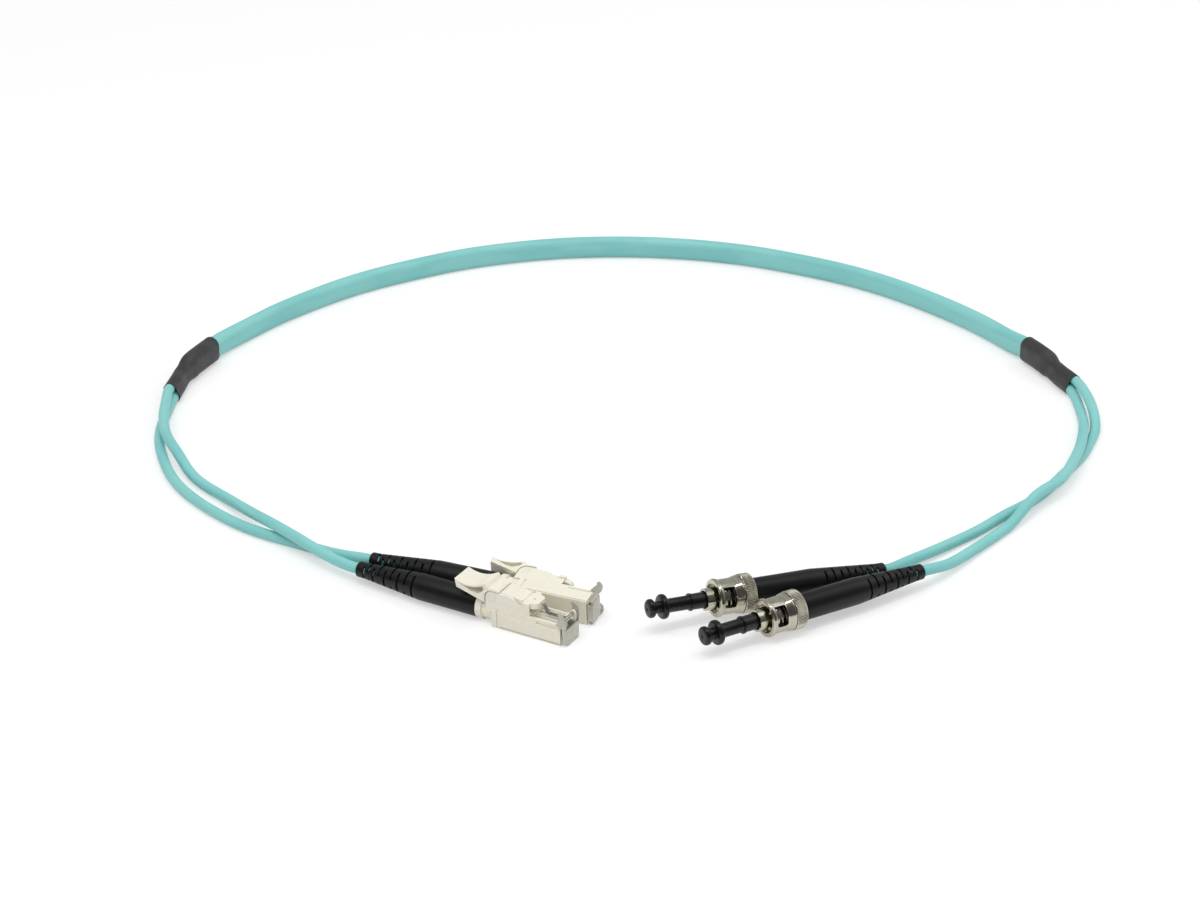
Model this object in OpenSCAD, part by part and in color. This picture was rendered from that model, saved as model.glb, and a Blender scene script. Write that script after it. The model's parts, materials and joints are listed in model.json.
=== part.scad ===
// Duplex fibre patch cord: two latch plugs at one end, two bayonet plugs at the other.
// It lies on the plane z = 0. Every plug is built along its own +X, the way that it mates.

/* [Cable] */
// Outer diameter of a single-fibre leg
leg_d = 2.8; // [2.4:0.1:3.0]
// Thickness of the flat twin trunk
trunk_w = 3.8; // [3.4:0.1:4.4]
// Height of the flat twin trunk, which stands on its narrow edge
trunk_h = 6.5; // [5.8:0.1:7.0]
// Diameter of the buffered fibre inside a plug
fibre_d = 0.9; // [0.6:0.05:1.0]
// Wall of the shrink sleeve over the end of the trunk
sleeve_wall = 0.55; // [0.3:0.05:0.8]
// Distance between the two leg centres where they leave a sleeve
leg_pitch = 3.0; // [2.9:0.05:3.2]

/* [Ferrule] */
// Diameter of the ceramic ferrule
ferrule_d = 2.5; // [2.0:0.05:2.6]
// Chamfer on the ferrule tip
ferrule_chamfer = 0.3; // [0.1:0.05:0.5]

/* [Boot and crimp] */
// Outer diameter of a boot where it meets the plug
boot_d = 6.8; // [6.4:0.1:7.0]
// Outer diameter of a boot at its cable end
boot_tail_d = 4.0; // [3.8:0.1:4.6]
// Length of the smooth front part of a boot
boot_smooth_l = 17.0; // [14:0.5:18]
// Length of a latch plug's boot
latch_boot_l = 35.6; // [34:0.2:38]
// Length of a bayonet plug's boot
bayonet_boot_l = 37.2; // [35:0.2:39]
// Length of the solid ring at the cable end of a boot
boot_ring_l = 2.2; // [2:0.1:4]
// Distance from the first boot slot to the next one, a quarter turn round
slot_pitch = 1.4; // [1.2:0.05:1.6]
// Amount by which each further slot pitch is longer than the one before
slot_growth = 0.13; // [0.05:0.01:0.16]
// Width of a boot slot
slot_w = 0.55; // [0.4:0.05:0.8]
// Number of slots in a boot
slot_count = 9; // [5:1:9]
// Width of the two bridges that a boot slot leaves standing
slot_bridge = 1.8; // [1.4:0.1:2.4]
// Diameter of the collar that closes the back of a plug
collar_d = 5.0; // [4.6:0.1:5.2]
// Thickness of that collar
collar_l = 1.2; // [0.8:0.1:1.6]
// Diameter of the crimp post
post_d = 3.4; // [3.0:0.1:3.6]
// Length of the crimp post behind the collar
post_l = 6.2; // [5:0.1:7]
// Wall of the crimp sleeve
crimp_wall = 0.35; // [0.25:0.05:0.45]
// Length of the crimp sleeve that grips the jacket
crimp_grip_l = 2.8; // [2:0.1:3.5]

/* [Latch plug] */
// Width of the housing
latch_w = 6.8; // [6.6:0.1:7.2]
// Length from the back of the neck to the front of the plastic
latch_l = 24.6; // [24:0.1:26]
// Diameter of the waist between neck ring and body
waist_d = 5.9; // [5.6:0.05:6.0]
// Thickness of the side walls that carry the lever
wall_t = 0.8; // [0.6:0.05:1.0]
// Height of the lower body
lower_h = 4.4; // [4.2:0.1:4.6]
// Depth by which the label panels stand proud
panel_t = 0.25; // [0.1:0.05:0.4]
// Height of the label panels
panel_h = 4.0; // [3.8:0.05:4.1]
// Length of the open bay behind the front of the plastic
bay_l = 9.35; // [9:0.05:9.8]
// Height of the two rails beside the open bay
rail_z = 5.55; // [5.4:0.05:5.6]
// Distance from the back of the neck to the lever pin
lever_x = 4.9; // [4.6:0.1:5.4]
// Height of the lever pin
lever_z = 7.7; // [7.5:0.05:8.0]
// Diameter of the lever pin
lever_pin_d = 1.2; // [0.9:0.05:1.3]
// Diameter of the heads of the lever pin
lever_pin_head_d = 2.0; // [1.5:0.1:2.2]
// Width of the lever
lever_w = 5.0; // [4.6:0.1:5.0]
// Gap that the pad of the lever keeps from neck and boot
lever_gap = 0.6; // [0.5:0.1:1.0]
// Distance from the lever pin back to the end of the pad
pad_back = 10.4; // [10:0.1:10.8]
// Length by which the tooth of the lever reaches into the open bay
tooth_l = 1.85; // [1.5:0.05:2.0]
// Thickness of the sheet that the shutter is bent from
shutter_t = 0.4; // [0.3:0.05:0.5]
// Distance from the front of the plastic to the front of the shutter
shutter_out = 1.2; // [1.1:0.05:1.4]
// Distance from the front of the plastic back to the shutter pin
shutter_back = 0.3; // [0.2:0.05:0.4]
// Height of the shutter pin
shutter_z = 6.4; // [6.3:0.05:6.6]
// Diameter of the shutter pin
shutter_pin_d = 0.8; // [0.5:0.05:0.85]
// Bore of the housing round spring and holder
latch_bore_d = 4.6; // [4.4:0.05:4.7]
// Length of the ferrule in a latch plug
latch_ferrule_l = 12.4; // [11:0.1:12.6]
// Distance from the front of the plastic back to the tip of the ferrule
ferrule_in = 0.55; // [0.4:0.05:0.8]
// Length of the ferrule spring at rest
ferrule_spring_l = 5.95; // [5.5:0.05:6.4]

/* [Bayonet plug] */
// Outer diameter of the nut's rolled lip
lip_d = 9.6; // [9.2:0.1:9.8]
// Length of the rolled lip
lip_l = 1.25; // [1.0:0.05:1.5]
// Outer diameter of the nut's barrel
nut_d = 8.9; // [8.6:0.1:9.2]
// Bore of the nut
nut_bore_d = 7.5; // [7.4:0.1:7.8]
// Outer diameter of the knurled rim
knurl_d = 9.86; // [9.5:0.02:10.2]
// Length of the knurled rim
knurl_l = 3.15; // [3:0.05:3.5]
// Outer diameter of the flare in front of the knurled rim
flare_d = 9.6; // [9.4:0.05:9.7]
// Length of the whole nut
nut_l = 10.0; // [9.6:0.1:10.6]
// Thickness of the nut's back wall
nut_back_t = 1.6; // [1.2:0.1:2.0]
// Width of the cross run of a J slot
jslot_w = 1.7; // [1.5:0.05:1.9]
// Length of the J slot window along the nut
jslot_l = 3.05; // [2.9:0.05:3.2]
// Length of the J slot window round the nut
jslot_round_l = 5.1; // [4.8:0.1:5.4]
// Width of the leg in which a lug comes to rest
detent_w = 2.1; // [1.9:0.05:2.3]
// Width of the entry leg where it shows outside
entry_w = 0.95; // [0.8:0.05:1.2]
// Outer diameter of the guide barrel
guide_d = 5.5; // [5.3:0.1:5.8]
// Bore of the guide barrel
guide_bore_d = 4.5; // [4.4:0.05:4.6]
// Distance by which the guide barrel stands out of the nut
guide_out = 2.5; // [2:0.1:3]
// Diameter of the flange that the nut spring pushes on
flange_d = 6.9; // [6.7:0.05:6.9]
// Diameter of the shaft that the nut turns on
shaft_d = 5.0; // [4.8:0.05:5.2]
// Distance by which the ferrule stands out of the nut
ferrule_out = 6.3; // [5.5:0.1:7]
// Outer diameter of the dust cap's sleeve where it enters the guide barrel
cap_d = 4.0; // [3.8:0.05:4.2]
// Outer diameter of the dust cap's sleeve outside
cap_neck_d = 3.5; // [3.4:0.05:3.7]
// Diameter of the dust cap's large disc
cap_disc_d = 6.2; // [5.8:0.1:6.6]
// Diameter of the dust cap's end disc
cap_knob_d = 4.7; // [4.4:0.1:5.0]
// Thickness of each disc of the dust cap
cap_disc_t = 1.6; // [1.4:0.05:1.8]
// Distance from the nut's front to the end of the dust cap
cap_out = 17.6; // [17:0.1:18.4]

/* [Springs] */
// Wire of the ferrule spring in a latch plug
ferrule_wire_d = 0.5; // [0.4:0.02:0.5]
// Turns of the ferrule spring
ferrule_turns = 5; // [3:1:5]
// Wire of the nut spring
nut_wire_d = 0.65; // [0.5:0.05:0.65]
// Turns of the nut spring
nut_turns = 3.5; // [2.5:0.5:3.5]

/* [Hidden] */
$fn = 48;

// Clearances
run = 0.05;      // radial, where one piece turns on another
seat = 0.01;     // radial, where one piece is bonded or pressed in another
slip = 0.1;      // radial or per side, where a piece only slides or lies
air = 0.3;       // between pieces that never touch

// Middle of the box round the plugs and sleeves, in the layout that the poses and routes use
layout_mid = [6.4, -27.4, 0];

// Where each plug lies: place, then roll, nose-up tilt and heading in degrees
near_latch_pose = [[-28.9, -89.2, 0], [0, 0, -29.4]];
far_latch_pose = [[-25.5, -84.8, 3.42], [-84, 0, -22.9]];
near_bayonet_pose = [[39.4, -99.8, 5.3], [0, 1, -148.3]];
far_bayonet_pose = [[27.5, -90.4, 5.55], [0, 3.5, -156]];

// Colours
ivory = "#ece6d2";
boot_black = "#1d1e20";
aqua = "#79c7c3";
sleeve_black = "#2b2c2e";
nickel = "#b9b6ad";
ceramic = "#f4f4f0";
spring_steel = "#8d8c88";

// ---- Vectors and swept skins ----

function unit(v) = v / norm(v);
function turn_x(v, a) = [v.x, v.y * cos(a) - v.z * sin(a), v.y * sin(a) + v.z * cos(a)];
function turn_y(v, a) = [v.x * cos(a) + v.z * sin(a), v.y, -v.x * sin(a) + v.z * cos(a)];
function turn_z(v, a) = [v.x * cos(a) - v.y * sin(a), v.x * sin(a) + v.y * cos(a), v.z];

// A plug's direction and point in the layout
function plug_dir(pose, v) = turn_z(turn_y(turn_x(v, pose[1].x), -pose[1].y), pose[1].z);
function plug_point(pose, v) = pose[0] + plug_dir(pose, v);

// Heading of a path at point i, halfway between its two neighbours
function heading(path, i) =
    i == 0 ? unit(path[1] - path[0]) :
    i == len(path) - 1 ? unit(path[i] - path[i - 1]) :
    unit(unit(path[i + 1] - path[i]) + unit(path[i] - path[i - 1]));

// A flat section set square to heading t at point p, with its second axis towards up
function ring(p, t, up, section) =
    let (side = unit(cross(t, up)), top = cross(side, t))
    [for (q = section) p + q.x * side + q.y * top];

function round_section(d, sides) = [for (i = [0 : sides - 1]) d / 2 * [cos(360 * (i + 0.5) / sides),
    sin(360 * (i + 0.5) / sides)]];

// Two half circles of width w, their ends h apart, turned by roll
function oval_section(w, h, sides, roll = 0) = [for (i = [0 : sides - 1])
    let (a = 360 * (i + 0.5) / sides,
         x = w / 2 * cos(a),
         y = w / 2 * sin(a) + sign(sin(a)) * (h - w) / 2)
    [x * cos(roll) - y * sin(roll), x * sin(roll) + y * cos(roll)]];

// Points along an arc of a side view
function arc(centre, r, first, last, steps) =
    [for (i = [0 : steps]) let (a = first + (last - first) * i / steps) centre + r * [cos(a), sin(a)]];

// Corner b between a and c, rounded to radius r
function corner(a, b, c, r, steps) =
    let (u = unit(a - b), w = unit(c - b), half = acos(u * w) / 2,
         centre = b + r / sin(half) * unit(u + w),
         first = b + r / tan(half) * u - centre,
         last = b + r / tan(half) * w - centre,
         sweep = 180 - 2 * half)
    [for (i = [0 : steps])
        centre + (sin(sweep * (1 - i / steps)) * first + sin(sweep * i / steps) * last) / sin(sweep)];

// A closed outline of [x, z, corner radius] points
function rounded(points, steps = 4) =
    let (n = len(points), at = [for (p = points) [p[0], p[1]]])
    [for (i = [0 : n - 1]) each points[i][2] == 0 ? [at[i]] :
        corner(at[(i + n - 1) % n], at[i], at[(i + 1) % n], points[i][2], steps)];

// Closed skin over a list of rings, all of triangles
module skin(rings) {
    n = len(rings[0]);
    m = len(rings);
    sides = [for (i = [0 : m - 2], j = [0 : n - 1])
        let (a = i * n + j, b = i * n + (j + 1) % n, c = b + n, d = a + n)
        each [[a, b, c], [a, c, d]]];
    start = [for (j = [1 : n - 2]) [0, j + 1, j]];
    end = [for (j = [1 : n - 2]) (m - 1) * n * [1, 1, 1] + [0, j, j + 1]];
    polyhedron([for (r = rings) each r], concat(sides, start, end));
}

// A cord of one section along a path, its first and last rings square to the given headings
module cord(path, section, first, last) {
    end = len(path) - 1;
    skin([for (i = [0 : end])
        ring(path[i], i == 0 ? first : i == end ? last : heading(path, i), [0, 0, 1], section)]);
}

// Centre line of a coil spring along x from x0 to x1, with a straight run at each end
curl_rings = 8;
function coil_path(x0, x1, r, wire, turns) =
    let (steps = turns * curl_rings,
         pitch = (x1 - x0 - 2 * wire) / turns)
    concat([[x0, r, 0]],
           [for (i = [0 : steps])
               let (a = 360 * i / curl_rings)
               [x0 + wire + pitch * i / curl_rings, r * cos(a), r * sin(a)]],
           [[x1, r * cos(360 * turns), r * sin(360 * turns)]]);

// Least distance between turns that are at least half a turn apart, less the wire
function coil_gap(path, wire) =
    min([for (i = [0 : len(path) - 1], j = [i + curl_rings / 2 : 1 : len(path) - 1])
        norm(path[i] - path[j])]) - wire;

module coil_spring(x0, x1, r, wire, turns) {
    path = coil_path(x0, x1, r, wire, turns);
    end = len(path) - 1;
    echo(least_gap_between_turns = coil_gap(path, wire));
    skin([for (i = [0 : end])
        ring(path[i], i == 0 || i == end ? [1, 0, 0] : heading(path, i), unit([0, path[i].y, path[i].z]),
             round_section(wire, 6))]);
}

// ---- Solids along a plug's own x axis ----

module slab(x0, x1, y0, y1, z0, z1) {
    translate([x0, y0, z0]) cube([x1 - x0, y1 - y0, z1 - z0]);
}

module rod(x0, x1, d) {
    translate([x0, 0, 0]) rotate([0, 90, 0]) cylinder(d = d, h = x1 - x0);
}

// A profile of [x, radius] points turned round the x axis
module turned(profile) {
    rotate([0, 90, 0]) rotate_extrude() polygon([for (p = profile) [p.y, p.x]]);
}

// A side view of [x, z] points given a width across y
module side_plate(y0, y1, points) {
    translate([0, y1, 0]) rotate([90, 0, 0]) linear_extrude(y1 - y0) polygon(points);
}

module cross_pin(x, z, y0, y1, d) {
    translate([x, y1, z]) rotate([90, 0, 0]) cylinder(d = d, h = y1 - y0);
}

module both_sides() {
    children();
    mirror([0, 1, 0]) children();
}

module placed(pose) {
    translate(pose[0] - layout_mid) rotate([pose[1].x, -pose[1].y, pose[1].z]) children();
}

module laid_out() {
    translate(-layout_mid) children();
}

// ---- Crimp and boot, behind a plug whose back face is at x = 0 ----

jacket_gap = 0.8;
crimp_neck_l = 0.6;
post_end = -(collar_l + post_l);
jacket_end = post_end - jacket_gap;
fibre_bore_d = fibre_d + 4 * slip;
crimp_front_d = post_d + 2 * air;
crimp_grip_d = leg_d + 2 * slip;
crimp_start = -(collar_l + slip);
crimp_step = jacket_end + jacket_gap / 2;
crimp_end = jacket_end - crimp_grip_l;
boot_cavity_d = collar_d + 2 * slip;
boot_cavity_l = -crimp_end + air;
boot_bore_d = leg_d + 2 * slip;
boot_round = 0.4;
boot_shoulder_r = 12;
boot_tail_r = 6;

module crimp_sleeve() {
    inner_f = crimp_front_d / 2;
    inner_b = crimp_grip_d / 2;
    grip_x = crimp_step - crimp_neck_l;
    color(nickel) turned([
        [crimp_start, inner_f], [crimp_start, inner_f + crimp_wall], [crimp_step, inner_f + crimp_wall],
        [grip_x, inner_b + crimp_wall], [crimp_end, inner_b + crimp_wall],
        [crimp_end, inner_b], [grip_x, inner_b], [crimp_step, inner_f]]);
}

module crimp_post() {
    rod(-collar_l, 0, collar_d);
    rod(post_end, -collar_l, post_d);
}

// Slots cut alternately from the sides and from top and bottom, wider apart towards the plug
module boot_slots(length) {
    first = -(length - boot_ring_l) + slot_w / 2;
    for (i = [0 : slot_count - 1])
        translate([first + i * slot_pitch + i * (i - 1) / 2 * slot_growth, 0, 0])
            rotate([i % 2 == 0 ? 0 : 90, 0, 0])
                both_sides() slab(-slot_w / 2, slot_w / 2, slot_bridge / 2, boot_d, -boot_d, boot_d);
}

module boot(length) {
    r = boot_d / 2;
    tail = boot_tail_d / 2;
    color(boot_black) difference() {
        turned(rounded([
            [0, 0, 0], [0, r, boot_round], [-boot_smooth_l, r, boot_shoulder_r],
            [-(length - boot_ring_l), tail, boot_tail_r], [-length, tail, boot_round], [-length, 0, 0]]));
        rod(-boot_cavity_l, boot_d, boot_cavity_d);
        rod(-length - boot_d, 0, boot_bore_d);
        boot_slots(length);
    }
}

module fibre(front) {
    color(aqua) rod(jacket_end, front, fibre_d);
}

// ---- Latch plug: back of the neck at x = 0, standing on z = 0 ----

half_w = latch_w / 2;
axis_z = half_w;
body_half = half_w - panel_t;
wall_in = half_w - wall_t;
neck_ring_l = 1.6;
rib_x = 4.9;
rib_l = 1.3;
rib_h = 5.0;
panel_gap = 0.6;
body_x = rib_x + rib_l;
bay_x = latch_l - bay_l;
deck_t = 0.5;
floor_z = axis_z + latch_bore_d / 2 + deck_t;
ear_d = 3.7;
ear_top = lever_z + ear_d / 2;
rest_z = 7.75;

// Nose: the panels stop short of it, and it is slim enough for the shutter to wrap round
nose_l = 0.5;
nose_x = latch_l - nose_l;
nose_half = half_w - 0.5;
nose_foot = 0.6;
rail_w = 0.7;
rail_end = 1.8;
bay_floor_z = 5.05;
bay_slot = [4.1, 4.9];
bay_slot_x = bay_x + 2.15;
bay_slot_depth = 0.5;
edge_groove = [0.25, 0.6];
edge_groove_depth = 0.3;

// Shutter pin in its two lugs, and the bridge between them
shutter_x = latch_l - shutter_back;
hinge_r = 0.8;
hinge_w = 0.65;
bridge_l = 1.4;
bridge_z = shutter_z - shutter_pin_d / 2 - slip;

// Ferrule, holder and spring in the bore, set back from the front
flange_l = 2.0;
shoulder_l = 1.0;
grip_back = 0.3;
latch_ferrule_x = latch_l - ferrule_in - latch_ferrule_l;
holder_flange_x = latch_ferrule_x + grip_back;
shoulder_x = holder_flange_x + flange_l + run;
spring_seat_x = holder_flange_x - ferrule_spring_l;
holder_nose_d = 3.2;
holder_nose_l = 1.4;
holder_tail_d = 2.8;
holder_tail_l = 2.6;
fibre_grip_l = 1.2;

module at_axis() {
    translate([0, 0, axis_z]) children();
}

// Two side walls: an ear round the lever pin, then a slope down to where the tooth rests
module latch_walls() {
    back = lever_x - ear_d / 2;
    outline = rounded([
        [back, panel_h, 0], [back, lever_z, 0], [lever_x, ear_top, 0], [bay_x - 4.5, ear_top - 0.25, 1.4],
        [bay_x - 2.8, rest_z, 0.8], [bay_x, rest_z, 0.2], [bay_x, panel_h, 0]]);
    both_sides() {
        side_plate(wall_in, half_w, outline);
        cross_pin(lever_x, lever_z, wall_in, half_w, ear_d);
    }
}

// Open bay in front of the lever: a floor, two rails and the slim nose with its hinge lugs
module latch_front() {
    slab(bay_x - 1, latch_l, -nose_half, nose_half, nose_foot, bay_floor_z);
    slab(shutter_x - bridge_l, latch_l, -nose_half, nose_half, nose_foot, bridge_z);
    both_sides() {
        slab(bay_x - 1, latch_l - rail_end, half_w - rail_w, half_w, panel_h - 1, rail_z);
        slab(shutter_x - hinge_r, shutter_x + hinge_r, nose_half - hinge_w, nose_half, panel_h, shutter_z);
        cross_pin(shutter_x, shutter_z, nose_half - hinge_w, nose_half, 2 * hinge_r);
    }
}

module latch_housing() {
    pin_d = shutter_pin_d + 2 * seat;
    color(ivory) difference() {
        union() {
            at_axis() {
                rod(0, neck_ring_l, latch_w);
                rod(0, body_x, waist_d);
            }
            slab(rib_x, body_x, -half_w, half_w, 0, rib_h);
            slab(rib_x, nose_x, -body_half, body_half, 0, lower_h);
            both_sides() slab(body_x + panel_gap, nose_x, 0, half_w, 0, panel_h);
            slab(rib_x, bay_x, -wall_in - slip, wall_in + slip, panel_h - 1, floor_z);
            latch_walls();
            latch_front();
        }
        at_axis() {
            rod(-1, shoulder_x, latch_bore_d);
            rod(0, latch_l + 1, holder_nose_d + 4 * slip);
            rod(shoulder_x + shoulder_l, latch_l + 1, latch_bore_d);
        }
        cross_pin(lever_x, lever_z, -half_w - 1, half_w + 1, lever_pin_d + 2 * seat);
        both_sides() {
            cross_pin(lever_x, lever_z, half_w - wall_t / 2, half_w + 1, lever_pin_head_d + 2 * seat);
            slab(bay_slot_x, latch_l, half_w - bay_slot_depth, half_w + 1, bay_slot[0], bay_slot[1]);
            slab(body_x + panel_gap, latch_l, half_w - edge_groove_depth, half_w + 1, edge_groove[0], edge_groove[1]);
        }
        cross_pin(shutter_x, shutter_z, -half_w, half_w, pin_d);
    }
}

// Lever: a saddle-shaped pad behind the pin, an arm between the walls, and a tooth ahead of them
arm_bottom = floor_z + 0.75;
arm_step_x = bay_x - 2.05;
arm_step = 0.25;
pad_half = half_w - slip;
pad_ear_gap = 0.25;
saddle_mid = [lever_x - 6.9, lever_z + 10.5];
saddle_r = 8.4;
pocket_rim = 0.45;
pocket_web = 2.0;
tooth_top = 8.9;
tooth_foot = 7.4;
tooth_back = bay_x - 1.65;
tooth_tip_half = 1.2;
tooth_over = rest_z + 0.15;

module lever_pad() {
    pin = [lever_x, lever_z];
    outline = concat(
        [pin + [0.4 - pad_back, 0.7], pin + [-pad_back, 2.6]],
        arc(saddle_mid, saddle_r, 245, 303, 16),
        [pin + [-2.0, 3.65], pin + [-1.7, 3.6], pin + [-1.0, 2.6], pin + [1.4, 2.6], pin + [1.9, 2.1]],
        arc(pin, ear_d / 2 + pad_ear_gap, 90, 180, 8),
        [pin + [-ear_d / 2 - pad_ear_gap, -1.5]]);
    pocket = concat(
        arc(saddle_mid, saddle_r + pocket_rim, 253, 299, 8),
        [pin + [-1.9, 2.35], pin + [-2.6, 1.3], pin + [-4.0, 0.35], pin + [-5.8, 0.55]]);
    difference() {
        side_plate(-pad_half, pad_half, outline);
        both_sides() side_plate(pocket_web / 2, half_w, pocket);
    }
}

// Plan of the tooth: a block as wide as the plug, then as wide as the arm and rounded to a narrow tip
module tooth_plan(x0, z0, z1) {
    side = concat([[bay_x, pad_half]], [for (a = [0 : 15 : 90])
        [bay_x + tooth_l * sin(a), tooth_tip_half + (lever_w / 2 - tooth_tip_half) * cos(a)]]);
    translate([0, 0, z0]) linear_extrude(z1 - z0) intersection() {
        polygon(concat([[tooth_back, -pad_half], [tooth_back, pad_half]], side,
                       [for (i = [len(side) - 1 : -1 : 0]) [side[i].x, -side[i].y]]));
        translate([x0, -half_w]) square([latch_l, latch_w]);
    }
}

module latch_lever() {
    arm = [
        [lever_x - 3, lever_z - 0.9], [lever_x - 3, lever_z + 2], [lever_x + 1.9, ear_top],
        [arm_step_x, tooth_top + arm_step], [arm_step_x, tooth_top], [bay_x + 2 * slip, tooth_top],
        [bay_x + 2 * slip, tooth_foot], [tooth_back, arm_bottom], [lever_x, arm_bottom], [lever_x, lever_z - 1.1]];
    color(ivory) difference() {
        union() {
            lever_pad();
            side_plate(-lever_w / 2, lever_w / 2, arm);
            cross_pin(lever_x, lever_z, -lever_w / 2, lever_w / 2, 2.2);
            tooth_plan(tooth_back, tooth_over, tooth_top);
            tooth_plan(bay_x + slip, tooth_foot, tooth_top);
        }
        at_axis() rod(-pad_back, lever_x - 1.2, latch_w + 2 * lever_gap);
        cross_pin(lever_x, lever_z, -lever_w, lever_w, lever_pin_d + 2 * run);
        translate([bay_x, 0, tooth_top - 0.4]) cylinder(d = 0.6, h = 1);
    }
}

module latch_lever_pin() {
    head_in = half_w - wall_t / 2 + seat;
    color(ivory) {
        cross_pin(lever_x, lever_z, -head_in, head_in, lever_pin_d);
        both_sides() cross_pin(lever_x, lever_z, head_in, half_w, lever_pin_head_d);
    }
}

// Shutter bent from one sheet: front wall, rounded corners, side and bottom lips, two hooked cheeks
shutter_in = half_w - shutter_t;
corner_r = 0.9;
front_x = latch_l + shutter_out;
shutter_foot = 0.1;
shutter_top = 4.6;
lip_x = latch_l - 0.1;
pin_end = shutter_in + shutter_t / 2;

module latch_shutter() {
    bend = [front_x - corner_r, half_w - corner_r];
    lip_foot = shutter_foot + shutter_t;
    back_x = shutter_x - 1.35;
    cheek = concat(
        [[lip_x, lip_foot], [bend.x, lip_foot], [bend.x, shutter_top]],
        arc([front_x - 5.4, shutter_top + 0.47], 5.08, -5, 63, 8),
        [[back_x - 0.3, shutter_top + 5.0], [back_x - 0.5, shutter_top + 4.2], [back_x + 0.1, shutter_top + 3.4],
         [back_x, shutter_top + 2.1], [back_x + 0.05, shutter_top + 0.7], [lip_x - 0.15, shutter_top + 0.3]]);
    color(nickel) difference() {
        union() {
            slab(front_x - shutter_t, front_x, -bend.y, bend.y, shutter_foot, shutter_top);
            slab(nose_x + 2 * slip, front_x - slip, -bend.y, bend.y, shutter_foot, lip_foot);
            both_sides() {
                side_plate(shutter_in, half_w, cheek);
                intersection() {
                    translate([bend.x, bend.y, lip_foot]) difference() {
                        cylinder(r = corner_r, h = shutter_top - lip_foot);
                        translate([0, 0, -1]) cylinder(r = corner_r - shutter_t, h = shutter_top + 1);
                    }
                    slab(bend.x, front_x, bend.y, half_w, 0, shutter_top);
                }
            }
        }
        cross_pin(shutter_x, shutter_z, -pin_end - seat, pin_end + seat, shutter_pin_d + 2 * run);
    }
}

module latch_shutter_pin() {
    color(nickel) cross_pin(shutter_x, shutter_z, -pin_end, pin_end, shutter_pin_d);
}

// Leaf spring: it lies on the bridge, runs back over the open bay and rises to the tooth
module latch_shutter_leaf() {
    t = 0.35;
    low = bridge_z;
    end = shutter_x - shutter_pin_d / 2 - 2 * slip;
    tip = bay_x + tooth_l + 0.3;
    color(spring_steel) side_plate(-0.5, 0.5, [
        [end, low], [end, low + t], [tip + 1.8, low + t], [tip + 1.35, low + 0.8], [tip + 0.75, low + 1.85],
        [tip + 0.2, low + 2.45], [tip, low + 2.2], [tip + 0.45, low + 1.6], [tip + 1.05, low + 0.5],
        [tip + 1.6, low]]);
}

module latch_ferrule() {
    tip = latch_ferrule_x + latch_ferrule_l;
    r = ferrule_d / 2;
    color(ceramic) at_axis() turned([
        [latch_ferrule_x, 0], [latch_ferrule_x, r], [tip - ferrule_chamfer, r],
        [tip, r - ferrule_chamfer], [tip, 0]]);
}

module latch_ferrule_holder() {
    color(nickel) at_axis() difference() {
        union() {
            rod(holder_flange_x, holder_flange_x + flange_l, latch_bore_d - 2 * slip);
            rod(holder_flange_x + flange_l, holder_flange_x + flange_l + holder_nose_l, holder_nose_d);
            rod(holder_flange_x - holder_tail_l, holder_flange_x, holder_tail_d);
        }
        rod(latch_ferrule_x, shoulder_x + 4, ferrule_d + 2 * seat);
        rod(0, shoulder_x, fibre_bore_d);
    }
}

module latch_ferrule_spring() {
    r = latch_bore_d / 2 - slip - ferrule_wire_d / 2 - slip;
    color(spring_steel) at_axis()
        coil_spring(spring_seat_x, holder_flange_x, r, ferrule_wire_d, ferrule_turns);
}

module latch_rear_body() {
    color(nickel) at_axis() difference() {
        union() {
            rod(0, spring_seat_x, latch_bore_d - 2 * seat);
            crimp_post();
        }
        rod(post_end - 1, spring_seat_x + 1, fibre_bore_d);
    }
}

module latch_crimp_sleeve() {
    at_axis() crimp_sleeve();
}

module latch_fibre() {
    at_axis() fibre(latch_ferrule_x - fibre_grip_l);
}

module latch_boot() {
    at_axis() boot(latch_boot_l);
}

// ---- Bayonet plug: front of the nut at x = 0, on its own axis ----

washer_t = 0.4;
nut_floor_x = -(nut_l - nut_back_t);
flange_x = -1.4;
guide_flange_l = 1.0;
back_x = -nut_l - run;
knurl_x = -(nut_l - knurl_l);
groove_l = 0.2;
groove_t = 0.4;
flare_back_l = 0.35;
flare_l = 1.6;
lip_round = 0.45;
lug_w = 2.2;
lug_skin = 0.3;
window_angle = 23;
window_half = jslot_round_l / 2;
seat_x = -7.5;
cap_open_x = -1.2;
key_w = 1.0;
key_out = 0.45;
key_back = 0.3;

// J slot seen from outside: entry leg, cross run, and the short leg in which the lug comes to rest
module jslot() {
    front = -lip_l - run;
    back = front - jslot_l;
    tongue = back + jslot_w;
    side_plate(0, nut_d, rounded([
        [front, -window_half, 0.6], [front, detent_w - window_half, 0.5], [tongue, detent_w - window_half, 0.5],
        [tongue, window_half - entry_w, 0.15], [front, window_half - entry_w, 0], [front, window_half, 0],
        [back, window_half, 0.3], [back, -window_half, 0.6]]));
}

// Channel inside the nut that takes a lug from the mouth to the cross run
module lug_channel() {
    entry_mid = asin((jslot_round_l - entry_w) / nut_d);
    rotate([entry_mid, 0, 0])
        slab(-lip_l - jslot_l, 1, 0, nut_d / 2 - lug_skin, -lug_w / 2, lug_w / 2);
}

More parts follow.
